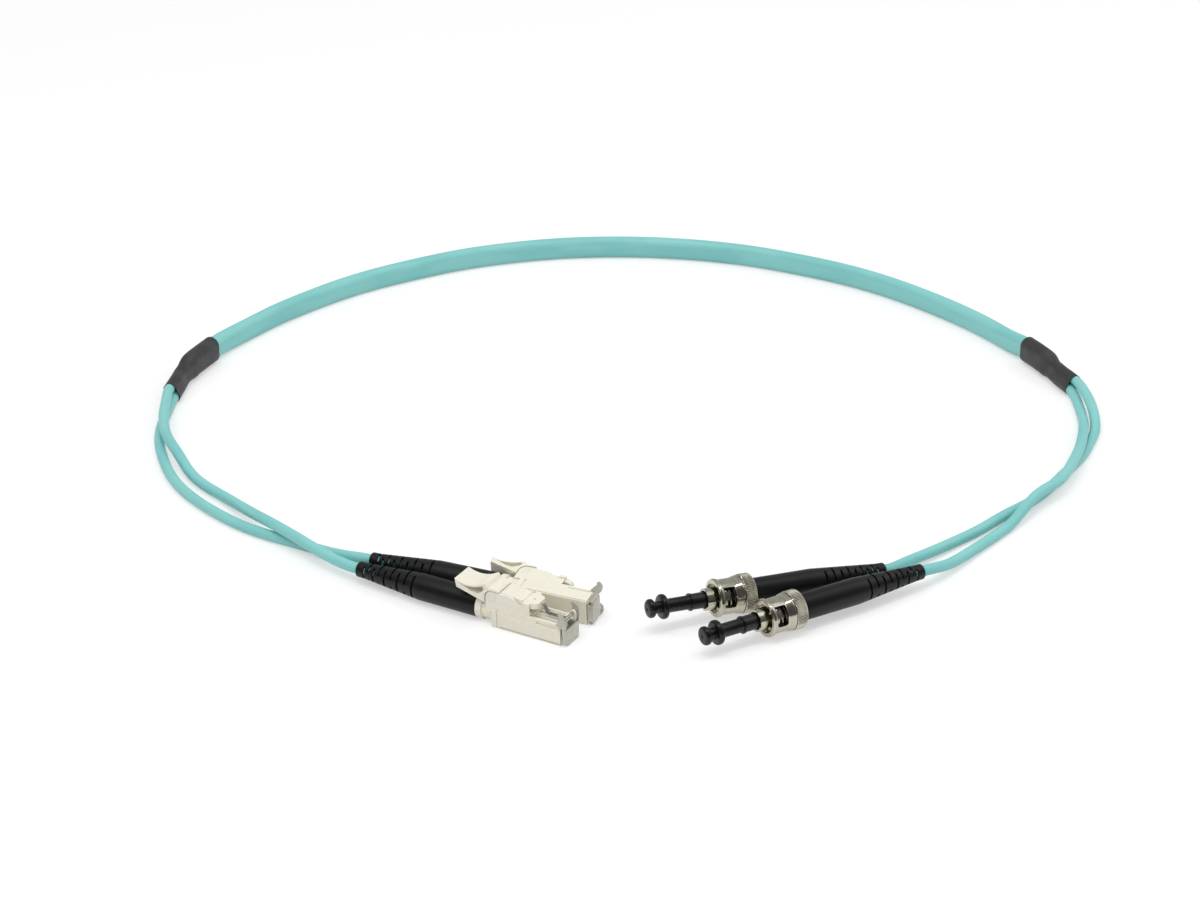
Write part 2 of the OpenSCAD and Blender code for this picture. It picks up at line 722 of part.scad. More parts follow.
module bayonet_nut() {
    lip = lip_d / 2;
    r = nut_d / 2;
    k = knurl_d / 2;
    flare = flare_d / 2;
    flare_x = knurl_x + groove_l + flare_back_l;
    color(nickel) difference() {
        turned(rounded([
            [0, 0, 0], [0, lip, lip_round], [-lip_l, lip, lip_round], [-lip_l, r, 0],
            [flare_x + flare_l, r, 2], [flare_x, flare, 1], [knurl_x + groove_l, flare, 0.1],
            [knurl_x + groove_l, flare - groove_t, 0], [knurl_x, flare - groove_t, 0], [knurl_x, k, 0.25],
            [-nut_l, k, 0.6], [-nut_l, 0, 0]]));
        rod(nut_floor_x, 1, nut_bore_d);
        rod(-nut_l - 1, 0, shaft_d + 2 * run);
        for (half = [0, 180]) rotate([half + window_angle, 0, 0]) {
            jslot();
            lug_channel();
        }
    }
}

module bayonet_thrust_washer() {
    color(spring_steel) difference() {
        rod(nut_floor_x, nut_floor_x + washer_t, nut_bore_d - 4 * slip);
        rod(nut_floor_x - 1, 0, shaft_d + 2 * run);
    }
}

module bayonet_nut_spring() {
    r = shaft_d / 2 + 2 * slip + nut_wire_d / 2 + 0.05;
    color(spring_steel)
        coil_spring(nut_floor_x + washer_t, flange_x - guide_flange_l, r, nut_wire_d, nut_turns);
}

module bayonet_guide_barrel() {
    color(nickel) difference() {
        union() {
            rod(flange_x, guide_out, guide_d);
            rod(flange_x - guide_flange_l, flange_x, flange_d);
            rod(back_x, flange_x, shaft_d);
            rotate([-40, 0, 0]) slab(flange_x, -key_back, 0, guide_d / 2 + key_out, -key_w / 2, key_w / 2);
        }
        rod(flange_x - 0.2, guide_out + 1, guide_bore_d);
        rod(seat_x, guide_out, ferrule_d + 2 * seat);
        rod(back_x - 1, 0, fibre_bore_d);
    }
}

module bayonet_ferrule() {
    r = ferrule_d / 2;
    color(ceramic) turned([
        [seat_x, 0], [seat_x, r], [ferrule_out - ferrule_chamfer, r],
        [ferrule_out, r - ferrule_chamfer], [ferrule_out, 0]]);
}

// Dust cap: sleeve with a ring at its step, a large disc, a waist and a domed end disc
cap_step_x = 6.1;
cap_ring_l = 0.5;
cap_ring_out = 0.2;
cap_waist_d = 3.0;
cap_waist_l = 1.6;
cap_edge = 0.65;

module bayonet_dust_cap() {
    tube = cap_d / 2;
    ring = tube + cap_ring_out;
    neck = cap_neck_d / 2;
    disc = cap_disc_d / 2;
    knob = cap_knob_d / 2;
    waist = cap_waist_d / 2;
    knob_x = cap_out - cap_disc_t;
    disc_x = knob_x - cap_waist_l;
    color(boot_black) difference() {
        turned(rounded([
            [cap_open_x, 0, 0], [cap_open_x, tube, 0.15], [cap_step_x, tube, 0.05], [cap_step_x, ring, 0.1],
            [cap_step_x + cap_ring_l, ring, 0.1], [cap_step_x + cap_ring_l, neck, 0.05],
            [disc_x - cap_disc_t, neck, 0.1], [disc_x - cap_disc_t, disc, cap_edge], [disc_x, disc, cap_edge],
            [disc_x, waist, 0.1], [knob_x, waist, 0.1], [knob_x, knob, cap_edge], [cap_out, knob, cap_edge],
            [cap_out, 0.7, 0.2], [cap_out - 0.3, 0, 0]]));
        rod(cap_open_x - 1, ferrule_out + 0.7, ferrule_d + 2 * run);
    }
}

module bayonet_rear_post() {
    color(nickel) translate([back_x, 0, 0]) difference() {
        crimp_post();
        rod(post_end - 1, 1, fibre_bore_d);
    }
}

module bayonet_crimp_sleeve() {
    translate([back_x, 0, 0]) crimp_sleeve();
}

module bayonet_fibre() {
    translate([back_x, 0, 0]) fibre(seat_x - back_x - slip);
}

module bayonet_boot() {
    translate([back_x, 0, 0]) boot(bayonet_boot_l);
}

// ---- Cable ----

cord_sides = 8;
oval_sides = 12;
legs_z = 3.0;

// Path of each sleeve, from the trunk to the legs, and how far its leg end is turned
left_sleeve_path = [[-109.7, 55.1, 3.9], [-114.8, 43.2, 3.9], [-115.5, 41.2, 3.6], [-118.0, 28.6, legs_z]];
right_sleeve_path = [[120.8, 55.1, 3.9], [126.0, 43.9, 3.9], [126.8, 42.0, 3.6], [130.9, 33.6, legs_z]];
left_roll = -20;
right_roll = 31;

// Start of a leg on a sleeve's end: which is 1 for the upper leg and -1 for the lower one
function leg_start(sleeve, roll, which) =
    let (end = len(sleeve) - 1,
         t = heading(sleeve, end),
         side = unit(cross(t, [0, 0, 1])))
    sleeve[end] + which * leg_pitch / 2 * (-sin(roll) * side + cos(roll) * cross(side, t));

trunk_route = [
    [-109.7, 55.1, 3.9], [-105.5, 63.0, 3.5], [-100.6, 70.3, 3.25], [-93.9, 79.3, 3.25],
    [-85.7, 88.4, 3.25], [-73.7, 99.7, 3.25], [-64.9, 106.2, 3.25], [-53.2, 113.3, 3.25],
    [-42.0, 119.1, 3.25], [-30.1, 123.5, 3.25], [-15.1, 127.2, 3.25], [3.0, 128.9, 3.25],
    [18.1, 128.2, 3.25], [33.2, 125.6, 3.25], [45.1, 122.1, 3.25], [59.5, 115.7, 3.25],
    [74.1, 107.5, 3.25], [88.0, 96.6, 3.25], [101.5, 82.7, 3.25], [109.3, 73.0, 3.25],
    [114.2, 65.7, 3.25], [117.7, 60.0, 3.5], [120.8, 55.1, 3.9]];

// Leg A: upper leg of the left sleeve, to the near latch plug
leg_a_route = [
    [-118.6, 21.5, 4.4], [-118.4, 14.9, 4.4], [-117.4, 6.0, 4.4], [-115.0, -2.7, 4.3], [-112.0, -8.6, 3.2],
    [-109.0, -14.4, 1.8], [-105.0, -21.3, 1.5], [-97.4, -30.3, 1.6], [-89.7, -41.1, 3.0],
    [-82.2, -51.1, 4.4], [-75.6, -58.4, 4.4], [-69.6, -64.4, 3.9], [-64.2, -69.0, 3.5]];

// Leg B: lower leg of the left sleeve, to the far latch plug
leg_b_route = [
    [-118.2, 21.5, 1.5], [-118.9, 8.6, 1.4], [-117.9, -0.6, 1.4], [-116.2, -7.8, 1.4], [-114.0, -15.0, 1.4],
    [-109.9, -24.0, 1.4], [-104.2, -32.4, 1.4], [-96.3, -41.2, 1.4], [-89.1, -47.4, 1.4], [-82.2, -51.8, 1.4],
    [-75.5, -55.6, 1.4], [-69.2, -60.0, 1.9], [-62.6, -64.8, 3.1]];

// Leg C: upper leg of the right sleeve, to the far bayonet plug
leg_c_route = [
    [133.3, 26.7, 4.2], [134.3, 19.8, 3.4], [134.5, 13.6, 2.0], [133.6, 7.7, 1.4], [131.4, 1.2, 1.4],
    [128.7, -5.7, 1.4], [125.8, -11.0, 1.4], [121.2, -18.6, 1.4], [116.1, -26.8, 1.4], [110.0, -34.2, 1.4],
    [104.9, -39.1, 1.4], [97.2, -47.4, 1.4], [89.6, -54.5, 1.5], [82.2, -61.3, 1.9], [76.0, -66.9, 2.3]];

// Leg D: lower leg of the right sleeve, to the near bayonet plug
leg_d_route = [
    [131.3, 26.4, 1.5], [131.4, 15.4, 1.5], [130.2, 5.5, 3.4], [127.4, -7.5, 4.4],
    [123.6, -18.2, 4.4], [119.4, -26.6, 4.4], [113.9, -33.0, 4.4], [109.5, -38.9, 3.3], [105.0, -45.2, 1.6],
    [98.4, -53.6, 1.4], [91.6, -62.2, 1.9], [86.2, -69.0, 2.9]];

latch_exit = [-latch_boot_l, 0, axis_z];
latch_jacket = [jacket_end, 0, axis_z];
bayonet_exit = [back_x - bayonet_boot_l, 0, 0];
bayonet_jacket = [back_x + jacket_end, 0, 0];

module leg(sleeve, roll, which, route, pose, exit, jacket) {
    path = concat([leg_start(sleeve, roll, which)], route, [plug_point(pose, exit), plug_point(pose, jacket)]);
    color(aqua) laid_out() cord(path, round_section(leg_d, cord_sides),
                                heading(sleeve, len(sleeve) - 1), plug_dir(pose, [1, 0, 0]));
}

module leg_a() {
    leg(left_sleeve_path, left_roll, 1, leg_a_route, near_latch_pose, latch_exit, latch_jacket);
}

module leg_b() {
    leg(left_sleeve_path, left_roll, -1, leg_b_route, far_latch_pose, latch_exit, latch_jacket);
}

module leg_c() {
    leg(right_sleeve_path, right_roll, 1, leg_c_route, far_bayonet_pose, bayonet_exit, bayonet_jacket);
}

module leg_d() {
    leg(right_sleeve_path, right_roll, -1, leg_d_route, near_bayonet_pose, bayonet_exit, bayonet_jacket);
}

module trunk_sheath() {
    color(aqua) laid_out() cord(trunk_route, oval_section(trunk_w, trunk_h, oval_sides),
                                -heading(left_sleeve_path, 0), heading(right_sleeve_path, 0));
}

// A thick half over the end of the sheath, a step, and a thinner half down to the two legs
module split_sleeve(path, roll) {
    thick = [trunk_w, trunk_h] + 2 * sleeve_wall * [1, 1];
    thin = [leg_d, leg_pitch + leg_d] + 2 * sleeve_wall * [1, 0.2];
    sizes = [thick, thick, (thick + thin) / 2, thin];
    turns = [0, 0, roll / 4, roll];
    color(sleeve_black) laid_out() skin([for (i = [0 : 3])
        ring(path[i], heading(path, i), [0, 0, 1], oval_section(sizes[i].x, sizes[i].y, oval_sides, turns[i]))]);
}

module left_split_sleeve() {
    split_sleeve(left_sleeve_path, left_roll);
}

module right_split_sleeve() {
    split_sleeve(right_sleeve_path, right_roll);
}

// ---- Nodes ----

trunk_sheath();
left_split_sleeve();
right_split_sleeve();
leg_a();
leg_b();
leg_c();
leg_d();

placed(near_latch_pose) latch_housing();  // near_latch_housing
placed(near_latch_pose) latch_lever();  // near_latch_lever
placed(near_latch_pose) latch_lever_pin();  // near_latch_lever_pin
placed(near_latch_pose) latch_shutter();  // near_latch_shutter
placed(near_latch_pose) latch_shutter_pin();  // near_latch_shutter_pin
placed(near_latch_pose) latch_shutter_leaf();  // near_latch_shutter_leaf
placed(near_latch_pose) latch_ferrule();  // near_latch_ferrule
placed(near_latch_pose) latch_ferrule_holder();  // near_latch_ferrule_holder
placed(near_latch_pose) latch_ferrule_spring();  // near_latch_ferrule_spring
placed(near_latch_pose) latch_rear_body();  // near_latch_rear_body
placed(near_latch_pose) latch_crimp_sleeve();  // near_latch_crimp_sleeve
placed(near_latch_pose) latch_fibre();  // near_latch_fibre
placed(near_latch_pose) latch_boot();  // near_latch_boot

placed(far_latch_pose) latch_housing();  // far_latch_housing
placed(far_latch_pose) latch_lever();  // far_latch_lever
placed(far_latch_pose) latch_lever_pin();  // far_latch_lever_pin
placed(far_latch_pose) latch_shutter();  // far_latch_shutter
placed(far_latch_pose) latch_shutter_pin();  // far_latch_shutter_pin
placed(far_latch_pose) latch_shutter_leaf();  // far_latch_shutter_leaf
placed(far_latch_pose) latch_ferrule();  // far_latch_ferrule
placed(far_latch_pose) latch_ferrule_holder();  // far_latch_ferrule_holder
placed(far_latch_pose) latch_ferrule_spring();  // far_latch_ferrule_spring
placed(far_latch_pose) latch_rear_body();  // far_latch_rear_body
placed(far_latch_pose) latch_crimp_sleeve();  // far_latch_crimp_sleeve
placed(far_latch_pose) latch_fibre();  // far_latch_fibre
placed(far_latch_pose) latch_boot();  // far_latch_boot

placed(near_bayonet_pose) bayonet_dust_cap();  // near_bayonet_dust_cap
placed(near_bayonet_pose) bayonet_ferrule();  // near_bayonet_ferrule
placed(near_bayonet_pose) bayonet_guide_barrel();  // near_bayonet_guide_barrel
placed(near_bayonet_pose) bayonet_nut();  // near_bayonet_coupling_nut
placed(near_bayonet_pose) bayonet_nut_spring();  // near_bayonet_nut_spring
placed(near_bayonet_pose) bayonet_thrust_washer();  // near_bayonet_thrust_washer
placed(near_bayonet_pose) bayonet_rear_post();  // near_bayonet_rear_post
placed(near_bayonet_pose) bayonet_crimp_sleeve();  // near_bayonet_crimp_sleeve
placed(near_bayonet_pose) bayonet_fibre();  // near_bayonet_fibre
placed(near_bayonet_pose) bayonet_boot();  // near_bayonet_boot

placed(far_bayonet_pose) bayonet_dust_cap();  // far_bayonet_dust_cap
placed(far_bayonet_pose) bayonet_ferrule();  // far_bayonet_ferrule
placed(far_bayonet_pose) bayonet_guide_barrel();  // far_bayonet_guide_barrel
placed(far_bayonet_pose) bayonet_nut();  // far_bayonet_coupling_nut
placed(far_bayonet_pose) bayonet_nut_spring();  // far_bayonet_nut_spring
placed(far_bayonet_pose) bayonet_thrust_washer();  // far_bayonet_thrust_washer
placed(far_bayonet_pose) bayonet_rear_post();  // far_bayonet_rear_post
placed(far_bayonet_pose) bayonet_crimp_sleeve();  // far_bayonet_crimp_sleeve
placed(far_bayonet_pose) bayonet_fibre();  // far_bayonet_fibre
placed(far_bayonet_pose) bayonet_boot();  // far_bayonet_boot
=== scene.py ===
import json
import math

import bmesh
import bpy
import numpy as np
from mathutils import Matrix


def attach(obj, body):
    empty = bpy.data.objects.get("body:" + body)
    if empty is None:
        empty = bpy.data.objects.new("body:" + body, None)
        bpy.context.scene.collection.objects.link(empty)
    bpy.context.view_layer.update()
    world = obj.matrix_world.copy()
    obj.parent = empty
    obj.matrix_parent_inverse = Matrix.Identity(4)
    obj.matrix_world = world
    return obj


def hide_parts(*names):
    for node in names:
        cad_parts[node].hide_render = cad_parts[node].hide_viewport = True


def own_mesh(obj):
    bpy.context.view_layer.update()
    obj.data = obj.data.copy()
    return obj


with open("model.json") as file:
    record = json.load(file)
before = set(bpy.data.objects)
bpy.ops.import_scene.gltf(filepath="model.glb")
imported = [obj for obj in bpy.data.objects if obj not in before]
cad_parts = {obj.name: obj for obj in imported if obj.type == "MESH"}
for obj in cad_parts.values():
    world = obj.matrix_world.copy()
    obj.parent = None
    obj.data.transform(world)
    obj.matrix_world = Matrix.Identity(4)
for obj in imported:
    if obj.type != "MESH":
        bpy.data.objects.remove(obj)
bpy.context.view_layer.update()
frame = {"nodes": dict(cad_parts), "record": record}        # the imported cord: bodies, nodes, joints and record
mm = 0.001
print("frame loaded")


# where things lie

layoutMiddle = np.array([0.0064, -0.0274, 0.0])    # what the frame's origin is in the layout

plugPoses = {    # place of each plug in metres, then roll, nose-up tilt and heading in degrees
    "near_latch": {"place": (-0.0289, -0.0892, 0.0), "roll": 0.0, "tilt": 0.0, "heading": -29.4},
    "far_latch": {"place": (-0.0255, -0.0848, 0.00342), "roll": -84.0, "tilt": 0.0, "heading": -22.9},
    "near_bayonet": {"place": (0.0394, -0.0998, 0.0053), "roll": 0.0, "tilt": 1.0, "heading": -148.3},
    "far_bayonet": {"place": (0.0275, -0.0904, 0.00555), "roll": 0.0, "tilt": 3.5, "heading": -156.0},
}


def plugTurn(plug):    # 3x3 matrix: roll about x, then tilt about y, then heading about z
    pose = plugPoses[plug]
    r, t, h = (math.radians(pose[k]) for k in ("roll", "tilt", "heading"))
    rollTurn = np.array([[1, 0, 0], [0, math.cos(r), -math.sin(r)], [0, math.sin(r), math.cos(r)]])
    tiltTurn = np.array([[math.cos(t), 0, -math.sin(t)], [0, 1, 0], [math.sin(t), 0, math.cos(t)]])
    headTurn = np.array([[math.cos(h), -math.sin(h), 0], [math.sin(h), math.cos(h), 0], [0, 0, 1]])
    return headTurn @ tiltTurn @ rollTurn


def fromPlug(plug, points):    # a plug's own millimetres into the frame's metres
    place = np.array(plugPoses[plug]["place"]) - layoutMiddle
    return place + mm * np.asarray(points, float) @ plugTurn(plug).T


def toPlug(plug, points):    # the frame's metres into a plug's own millimetres
    fromPlace = np.asarray(points, float) - np.array(plugPoses[plug]["place"]) + layoutMiddle
    return fromPlace / mm @ plugTurn(plug)


# surfaces on a grid

def unit(v):    # each vector over its own length
    return v / np.linalg.norm(v, axis=-1, keepdims=True)


def gridMesh(name, grid, uv=None, ringShut=False):
    # rows of a grid joined round and round into a tube of quads, then either its last row to its first
    # or each open end closed by a fan to its middle
    rows, around = grid.shape[:2]
    points = grid.reshape(-1, 3)
    i, j = np.meshgrid(np.arange(rows if ringShut else rows - 1), np.arange(around), indexing="ij")
    nextI, nextJ = (i + 1) % rows, (j + 1) % around
    quads = np.stack([i * around + j, i * around + nextJ, nextI * around + nextJ, nextI * around + j], -1)
    faces = quads.reshape(-1, 4).tolist()
    verts = points.tolist()
    if not ringShut:
        last = (rows - 1) * around
        verts += [grid[0].mean(0).tolist(), grid[-1].mean(0).tolist()]
        faces += [[len(verts) - 2, (k + 1) % around, k] for k in range(around)]
        faces += [[len(verts) - 1, last + k, last + (k + 1) % around] for k in range(around)]
    mesh = bpy.data.meshes.new(name)
    mesh.from_pydata(verts, [], faces)
    if uv is not None:    # u runs along the piece and v round it, both in metres
        along, round_ = uv
        layer = mesh.uv_layers.new(name="run")
        values = np.zeros((len(mesh.loops), 2), np.float32)
        n = (rows - 1) * around
        values[:n * 4, 0] = along[np.stack([i, i, i + 1, i + 1], -1)].ravel()
        values[:n * 4, 1] = round_[np.stack([j, j + 1, j + 1, j], -1)].ravel()
        layer.data.foreach_set("uv", values.ravel())
    mesh.validate()
    return mesh


def newPiece(name, mesh, material, body, replaces=(), smoothAngle=None):
    # a finished mesh as an object that rides on its body
    piece = bpy.data.objects.new(name, mesh)
    bpy.context.scene.collection.objects.link(piece)
    fixer = bmesh.new()
    fixer.from_mesh(mesh)
    bmesh.ops.recalc_face_normals(fixer, faces=fixer.faces)
    if smoothAngle is not None:
        for edge in fixer.edges:
            edge.smooth = len(edge.link_faces) == 2 and edge.calc_face_angle() < math.radians(smoothAngle)
    fixer.to_mesh(mesh)
    fixer.free()
    mesh.polygons.foreach_set("use_smooth", [True] * len(mesh.polygons))
    mesh.materials.append(material)
    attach(piece, body)
    if replaces:
        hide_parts(*replaces)
    return piece


def smoothPath(points, startWay, endWay, step):
    # clamped cubic through the points: tangents at the knots solve the usual three-term equations
    p = np.asarray(points, float)
    h = np.linalg.norm(np.diff(p, axis=0), axis=1)
    knots = np.concatenate([[0], np.cumsum(h)])
    n = len(p)
    a = np.eye(n)
    b = np.zeros((n, 3))
    inner = np.arange(1, n - 1)
    a[inner, inner - 1] = 1 / h[:-1]
    a[inner, inner] = 2 / h[:-1] + 2 / h[1:]
    a[inner, inner + 1] = 1 / h[1:]
    rise = np.diff(p, axis=0) / h[:, None] ** 2
    b[inner] = 3 * (rise[:-1] + rise[1:])
    b[0], b[-1] = unit(np.asarray(startWay, float)), unit(np.asarray(endWay, float))
    tangents = np.linalg.solve(a, b)
    s = np.linspace(0, knots[-1], int(knots[-1] / step) + 1)
    k = np.clip(np.searchsorted(knots, s, side="right") - 1, 0, n - 2)
    t = ((s - knots[k]) / h[k])[:, None]
    hk = h[k][:, None]
    return ((2 * t**3 - 3 * t**2 + 1) * p[k] + (t**3 - 2 * t**2 + t) * hk * tangents[k]
            + (3 * t**2 - 2 * t**3) * p[k + 1] + (t**3 - t**2) * hk * tangents[k + 1])


def lengthAlong(path):    # distance from the start at each point of a path
    return np.concatenate([[0], np.cumsum(np.linalg.norm(np.diff(path, axis=0), axis=1))])


def sweep(path, sections):
    # a flat section carried square to the path, its second axis as upright as the path lets it be
    ways = unit(np.gradient(path, axis=0))
    side = unit(np.cross(ways, [0, 0, 1.0]))
    top = np.cross(side, ways)
    sections = np.broadcast_to(sections, (len(path),) + sections.shape[-2:])
    return (path[:, None] + sections[..., 0:1] * side[:, None] + sections[..., 1:2] * top[:, None])


def stadium(width, height, count):
    # two half circles of the width, pulled apart up and down until they are the height
    a = 2 * math.pi * (np.arange(count) + 0.5) / count
    upright = width / 2 * np.sin(a) + np.sign(np.sin(a)) * (height - width) / 2
    return np.stack([width / 2 * np.cos(a), upright], -1)


# finishes

def fromHex(text):    # a hex colour as linear light, by the usual screen curve
    c = np.array([int(text[i:i + 2], 16) for i in (1, 3, 5)]) / 255
    linear = np.where(c <= 0.04045, c / 12.92, ((c + 0.055) / 1.055) ** 2.4)
    return (*linear.tolist(), 1.0)


def nodeGroup(name, inputs, outputs):    # an empty shader group with its sockets
    group = bpy.data.node_groups.new(name, "ShaderNodeTree")
    for socket, kind, value in inputs:
        made = group.interface.new_socket(socket, in_out="INPUT", socket_type=kind)
        if value is not None:
            made.default_value = value
    for socket, kind in outputs:
        group.interface.new_socket(socket, in_out="OUTPUT", socket_type=kind)
    return group, group.nodes.new("NodeGroupInput"), group.nodes.new("NodeGroupOutput")


def makeGrainGroup():    # two sizes of noise: a height for bumps and a mask for blotches
    group, into, out = nodeGroup("surfaceGrain", [
        ("Vector", "NodeSocketVector", None), ("Fine", "NodeSocketFloat", 4000.0),
        ("Coarse", "NodeSocketFloat", 300.0), ("Coarse Share", "NodeSocketFloat", 0.3)],
        [("Height", "NodeSocketFloat"), ("Mask", "NodeSocketFloat")])
    fine = group.nodes.new("ShaderNodeTexNoise")
    coarse = group.nodes.new("ShaderNodeTexNoise")
    fine.inputs["Detail"].default_value = 2.0
    coarse.inputs["Detail"].default_value = 3.0
    mix = group.nodes.new("ShaderNodeMix")
    for noise, scale in ((fine, "Fine"), (coarse, "Coarse")):
        group.links.new(into.outputs["Vector"], noise.inputs["Vector"])
        group.links.new(into.outputs[scale], noise.inputs["Scale"])
    group.links.new(into.outputs["Coarse Share"], mix.inputs["Factor"])
    group.links.new(fine.outputs["Fac"], mix.inputs["A"])
    group.links.new(coarse.outputs["Fac"], mix.inputs["B"])
    group.links.new(mix.outputs["Result"], out.inputs["Height"])
    group.links.new(coarse.outputs["Fac"], out.inputs["Mask"])
    return group


def makeToneGroup():
    # a colour blended into a second one where the mask rises from one level to another, and a value
    # that runs from low to high with the mask
    group, into, out = nodeGroup("toneShift", [
        ("Mask", "NodeSocketFloat", 0.5), ("From", "NodeSocketFloat", 0.4), ("To", "NodeSocketFloat", 0.6),
        ("Colour", "NodeSocketColor", (1, 1, 1, 1)), ("Second", "NodeSocketColor", (1, 1, 1, 1)),
        ("Low", "NodeSocketFloat", 0.3), ("High", "NodeSocketFloat", 0.5)],
        [("Colour", "NodeSocketColor"), ("Value", "NodeSocketFloat")])
    ramp = group.nodes.new("ShaderNodeMapRange")
    ramp.interpolation_type = "SMOOTHSTEP"
    for name, socket in (("Mask", "Value"), ("From", "From Min"), ("To", "From Max")):
        group.links.new(into.outputs[name], ramp.inputs[socket])
    mix = group.nodes.new("ShaderNodeMix")
    mix.data_type = "RGBA"
    group.links.new(ramp.outputs["Result"], mix.inputs["Factor"])
    group.links.new(into.outputs["Colour"], mix.inputs["A"])
    group.links.new(into.outputs["Second"], mix.inputs["B"])
    rough = group.nodes.new("ShaderNodeMapRange")
    group.links.new(into.outputs["Mask"], rough.inputs["Value"])
    group.links.new(into.outputs["Low"], rough.inputs["To Min"])
    group.links.new(into.outputs["High"], rough.inputs["To Max"])
    group.links.new(mix.outputs["Result"], out.inputs["Colour"])
    group.links.new(rough.outputs["Result"], out.inputs["Value"])
    return group


grainGroup = makeGrainGroup()
toneGroup = makeToneGroup()
milk = {"reach": (1.0, 0.8, 0.5), "scale": 0.6 * mm}    # how far light spreads under a milky surface


def finish(name, look, plug=None):
    # a plain shader whose colour, roughness and bump come from the grain and tone groups; on a turned
    # piece the grain is read in its plug's own axes, fine along x and drawn out round it
    material = bpy.data.materials.new(name)
    material.use_nodes = True
    tree = material.node_tree
    shader = tree.nodes["Principled BSDF"]
    where = tree.nodes.new("ShaderNodeTexCoord")
    grain = tree.nodes.new("ShaderNodeGroup")
    grain.node_tree = grainGroup
    tone = tree.nodes.new("ShaderNodeGroup")
    tone.node_tree = toneGroup
    bump = tree.nodes.new("ShaderNodeBump")
    grain.inputs["Fine"].default_value = look["fine"]
    grain.inputs["Coarse"].default_value = look["coarse"]
    grain.inputs["Coarse Share"].default_value = look["coarseShare"]
    tone.inputs["Colour"].default_value = fromHex(look["colour"])
    tone.inputs["Second"].default_value = fromHex(look["second"])
    tone.inputs["Low"].default_value, tone.inputs["High"].default_value = look["roughness"]
    bump.inputs["Strength"].default_value = look["bump"]
    bump.inputs["Distance"].default_value = look["depth"] * mm
    if "stretch" in look:    # drawn-out grain on a surface that has its own run of coordinates
        stretch = tree.nodes.new("ShaderNodeMapping")
        stretch.inputs["Scale"].default_value = look["stretch"]
        tree.links.new(where.outputs["UV"], stretch.inputs["Vector"])
        tree.links.new(stretch.outputs["Vector"], grain.inputs["Vector"])
    elif plug:
        pose = plugPoses[plug]
        own = tree.nodes.new("ShaderNodeMapping")
        own.vector_type = "TEXTURE"
        own.inputs["Location"].default_value = fromPlug(plug, (0, 0, 0)).tolist()
        own.inputs["Rotation"].default_value = [math.radians(a) for a in
                                                (pose["roll"], -pose["tilt"], pose["heading"])]
        own.inputs["Scale"].default_value = look["turned"]
        tree.links.new(where.outputs["Object"], own.inputs["Vector"])
        tree.links.new(own.outputs["Vector"], grain.inputs["Vector"])
    else:
        tree.links.new(where.outputs["Object"], grain.inputs["Vector"])
    tree.links.new(grain.outputs["Mask"], tone.inputs["Mask"])
    tree.links.new(grain.outputs["Height"], bump.inputs["Height"])
    tree.links.new(tone.outputs["Colour"], shader.inputs["Base Color"])
    tree.links.new(tone.outputs["Value"], shader.inputs["Roughness"])
    tree.links.new(bump.outputs["Normal"], shader.inputs["Normal"])
    shader.inputs["Metallic"].default_value = look.get("metal", 0.0)
    shader.inputs["Specular IOR Level"].default_value = look.get("specular", 0.5)
    if "milky" in look:
        shader.inputs["Subsurface Weight"].default_value = look["milky"]
        shader.inputs["Subsurface Radius"].default_value = milk["reach"]
        shader.inputs["Subsurface Scale"].default_value = milk["scale"]
    return material


looks = {    # hex colours, roughness from and to, grain sizes as cycles per metre, depth in mm
    "ivoryPlastic": {"colour": "#ebe7d8", "second": "#e8e4d4", "roughness": (0.30, 0.38), "fine": 5000,
                     "coarse": 900, "coarseShare": 0.15, "bump": 0.15, "depth": 0.015, "milky": 0.2},
    "aquaJacket": {"colour": "#86cbc8", "second": "#7cc4c2", "roughness": (0.42, 0.58), "fine": 2600,
                   "coarse": 160, "coarseShare": 0.35, "bump": 0.22, "depth": 0.03, "stretch": (0.25, 1, 1)},
    "shrinkTube": {"colour": "#39393a", "second": "#2f2f31", "roughness": (0.48, 0.62), "fine": 3200,
                   "coarse": 260, "coarseShare": 0.4, "bump": 0.4, "depth": 0.04},
    "bootElastomer": {"colour": "#0f0f11", "second": "#0b0b0c", "roughness": (0.34, 0.46), "fine": 3600,
                      "coarse": 300, "coarseShare": 0.35, "bump": 0.3, "depth": 0.03, "specular": 0.3},
    "nickelPlate": {"colour": "#c0bdb2", "second": "#b8b5aa", "roughness": (0.16, 0.26), "fine": 5200,
                    "coarse": 500, "coarseShare": 0.3, "bump": 0.15, "depth": 0.012, "metal": 1.0},
    "satinSteel": {"colour": "#bebcb0", "second": "#b5b3a7", "roughness": (0.36, 0.48), "fine": 5200,
                   "coarse": 700, "coarseShare": 0.25, "bump": 0.25, "depth": 0.015, "metal": 0.6},
    "springSteel": {"colour": "#8f8d86", "second": "#7f7d76", "roughness": (0.22, 0.38), "fine": 5200,
                    "coarse": 500, "coarseShare": 0.4, "bump": 0.2, "depth": 0.015, "metal": 1.0},
    "whiteCeramic": {"colour": "#f5f5f2", "second": "#f0f0ea", "roughness": (0.08, 0.16), "fine": 5200,
                     "coarse": 500, "coarseShare": 0.4, "bump": 0.05, "depth": 0.01, "milky": 0.2},
    "fibreBuffer": {"colour": "#7cc4c2", "second": "#70bab8", "roughness": (0.25, 0.35), "fine": 4000,
                    "coarse": 300, "coarseShare": 0.3, "bump": 0.1, "depth": 0.01},
    "capPlastic": {"colour": "#0f0f11", "second": "#0b0b0c", "roughness": (0.22, 0.34), "fine": 4200,
                   "coarse": 420, "coarseShare": 0.35, "bump": 0.25, "depth": 0.02, "specular": 0.35},
}
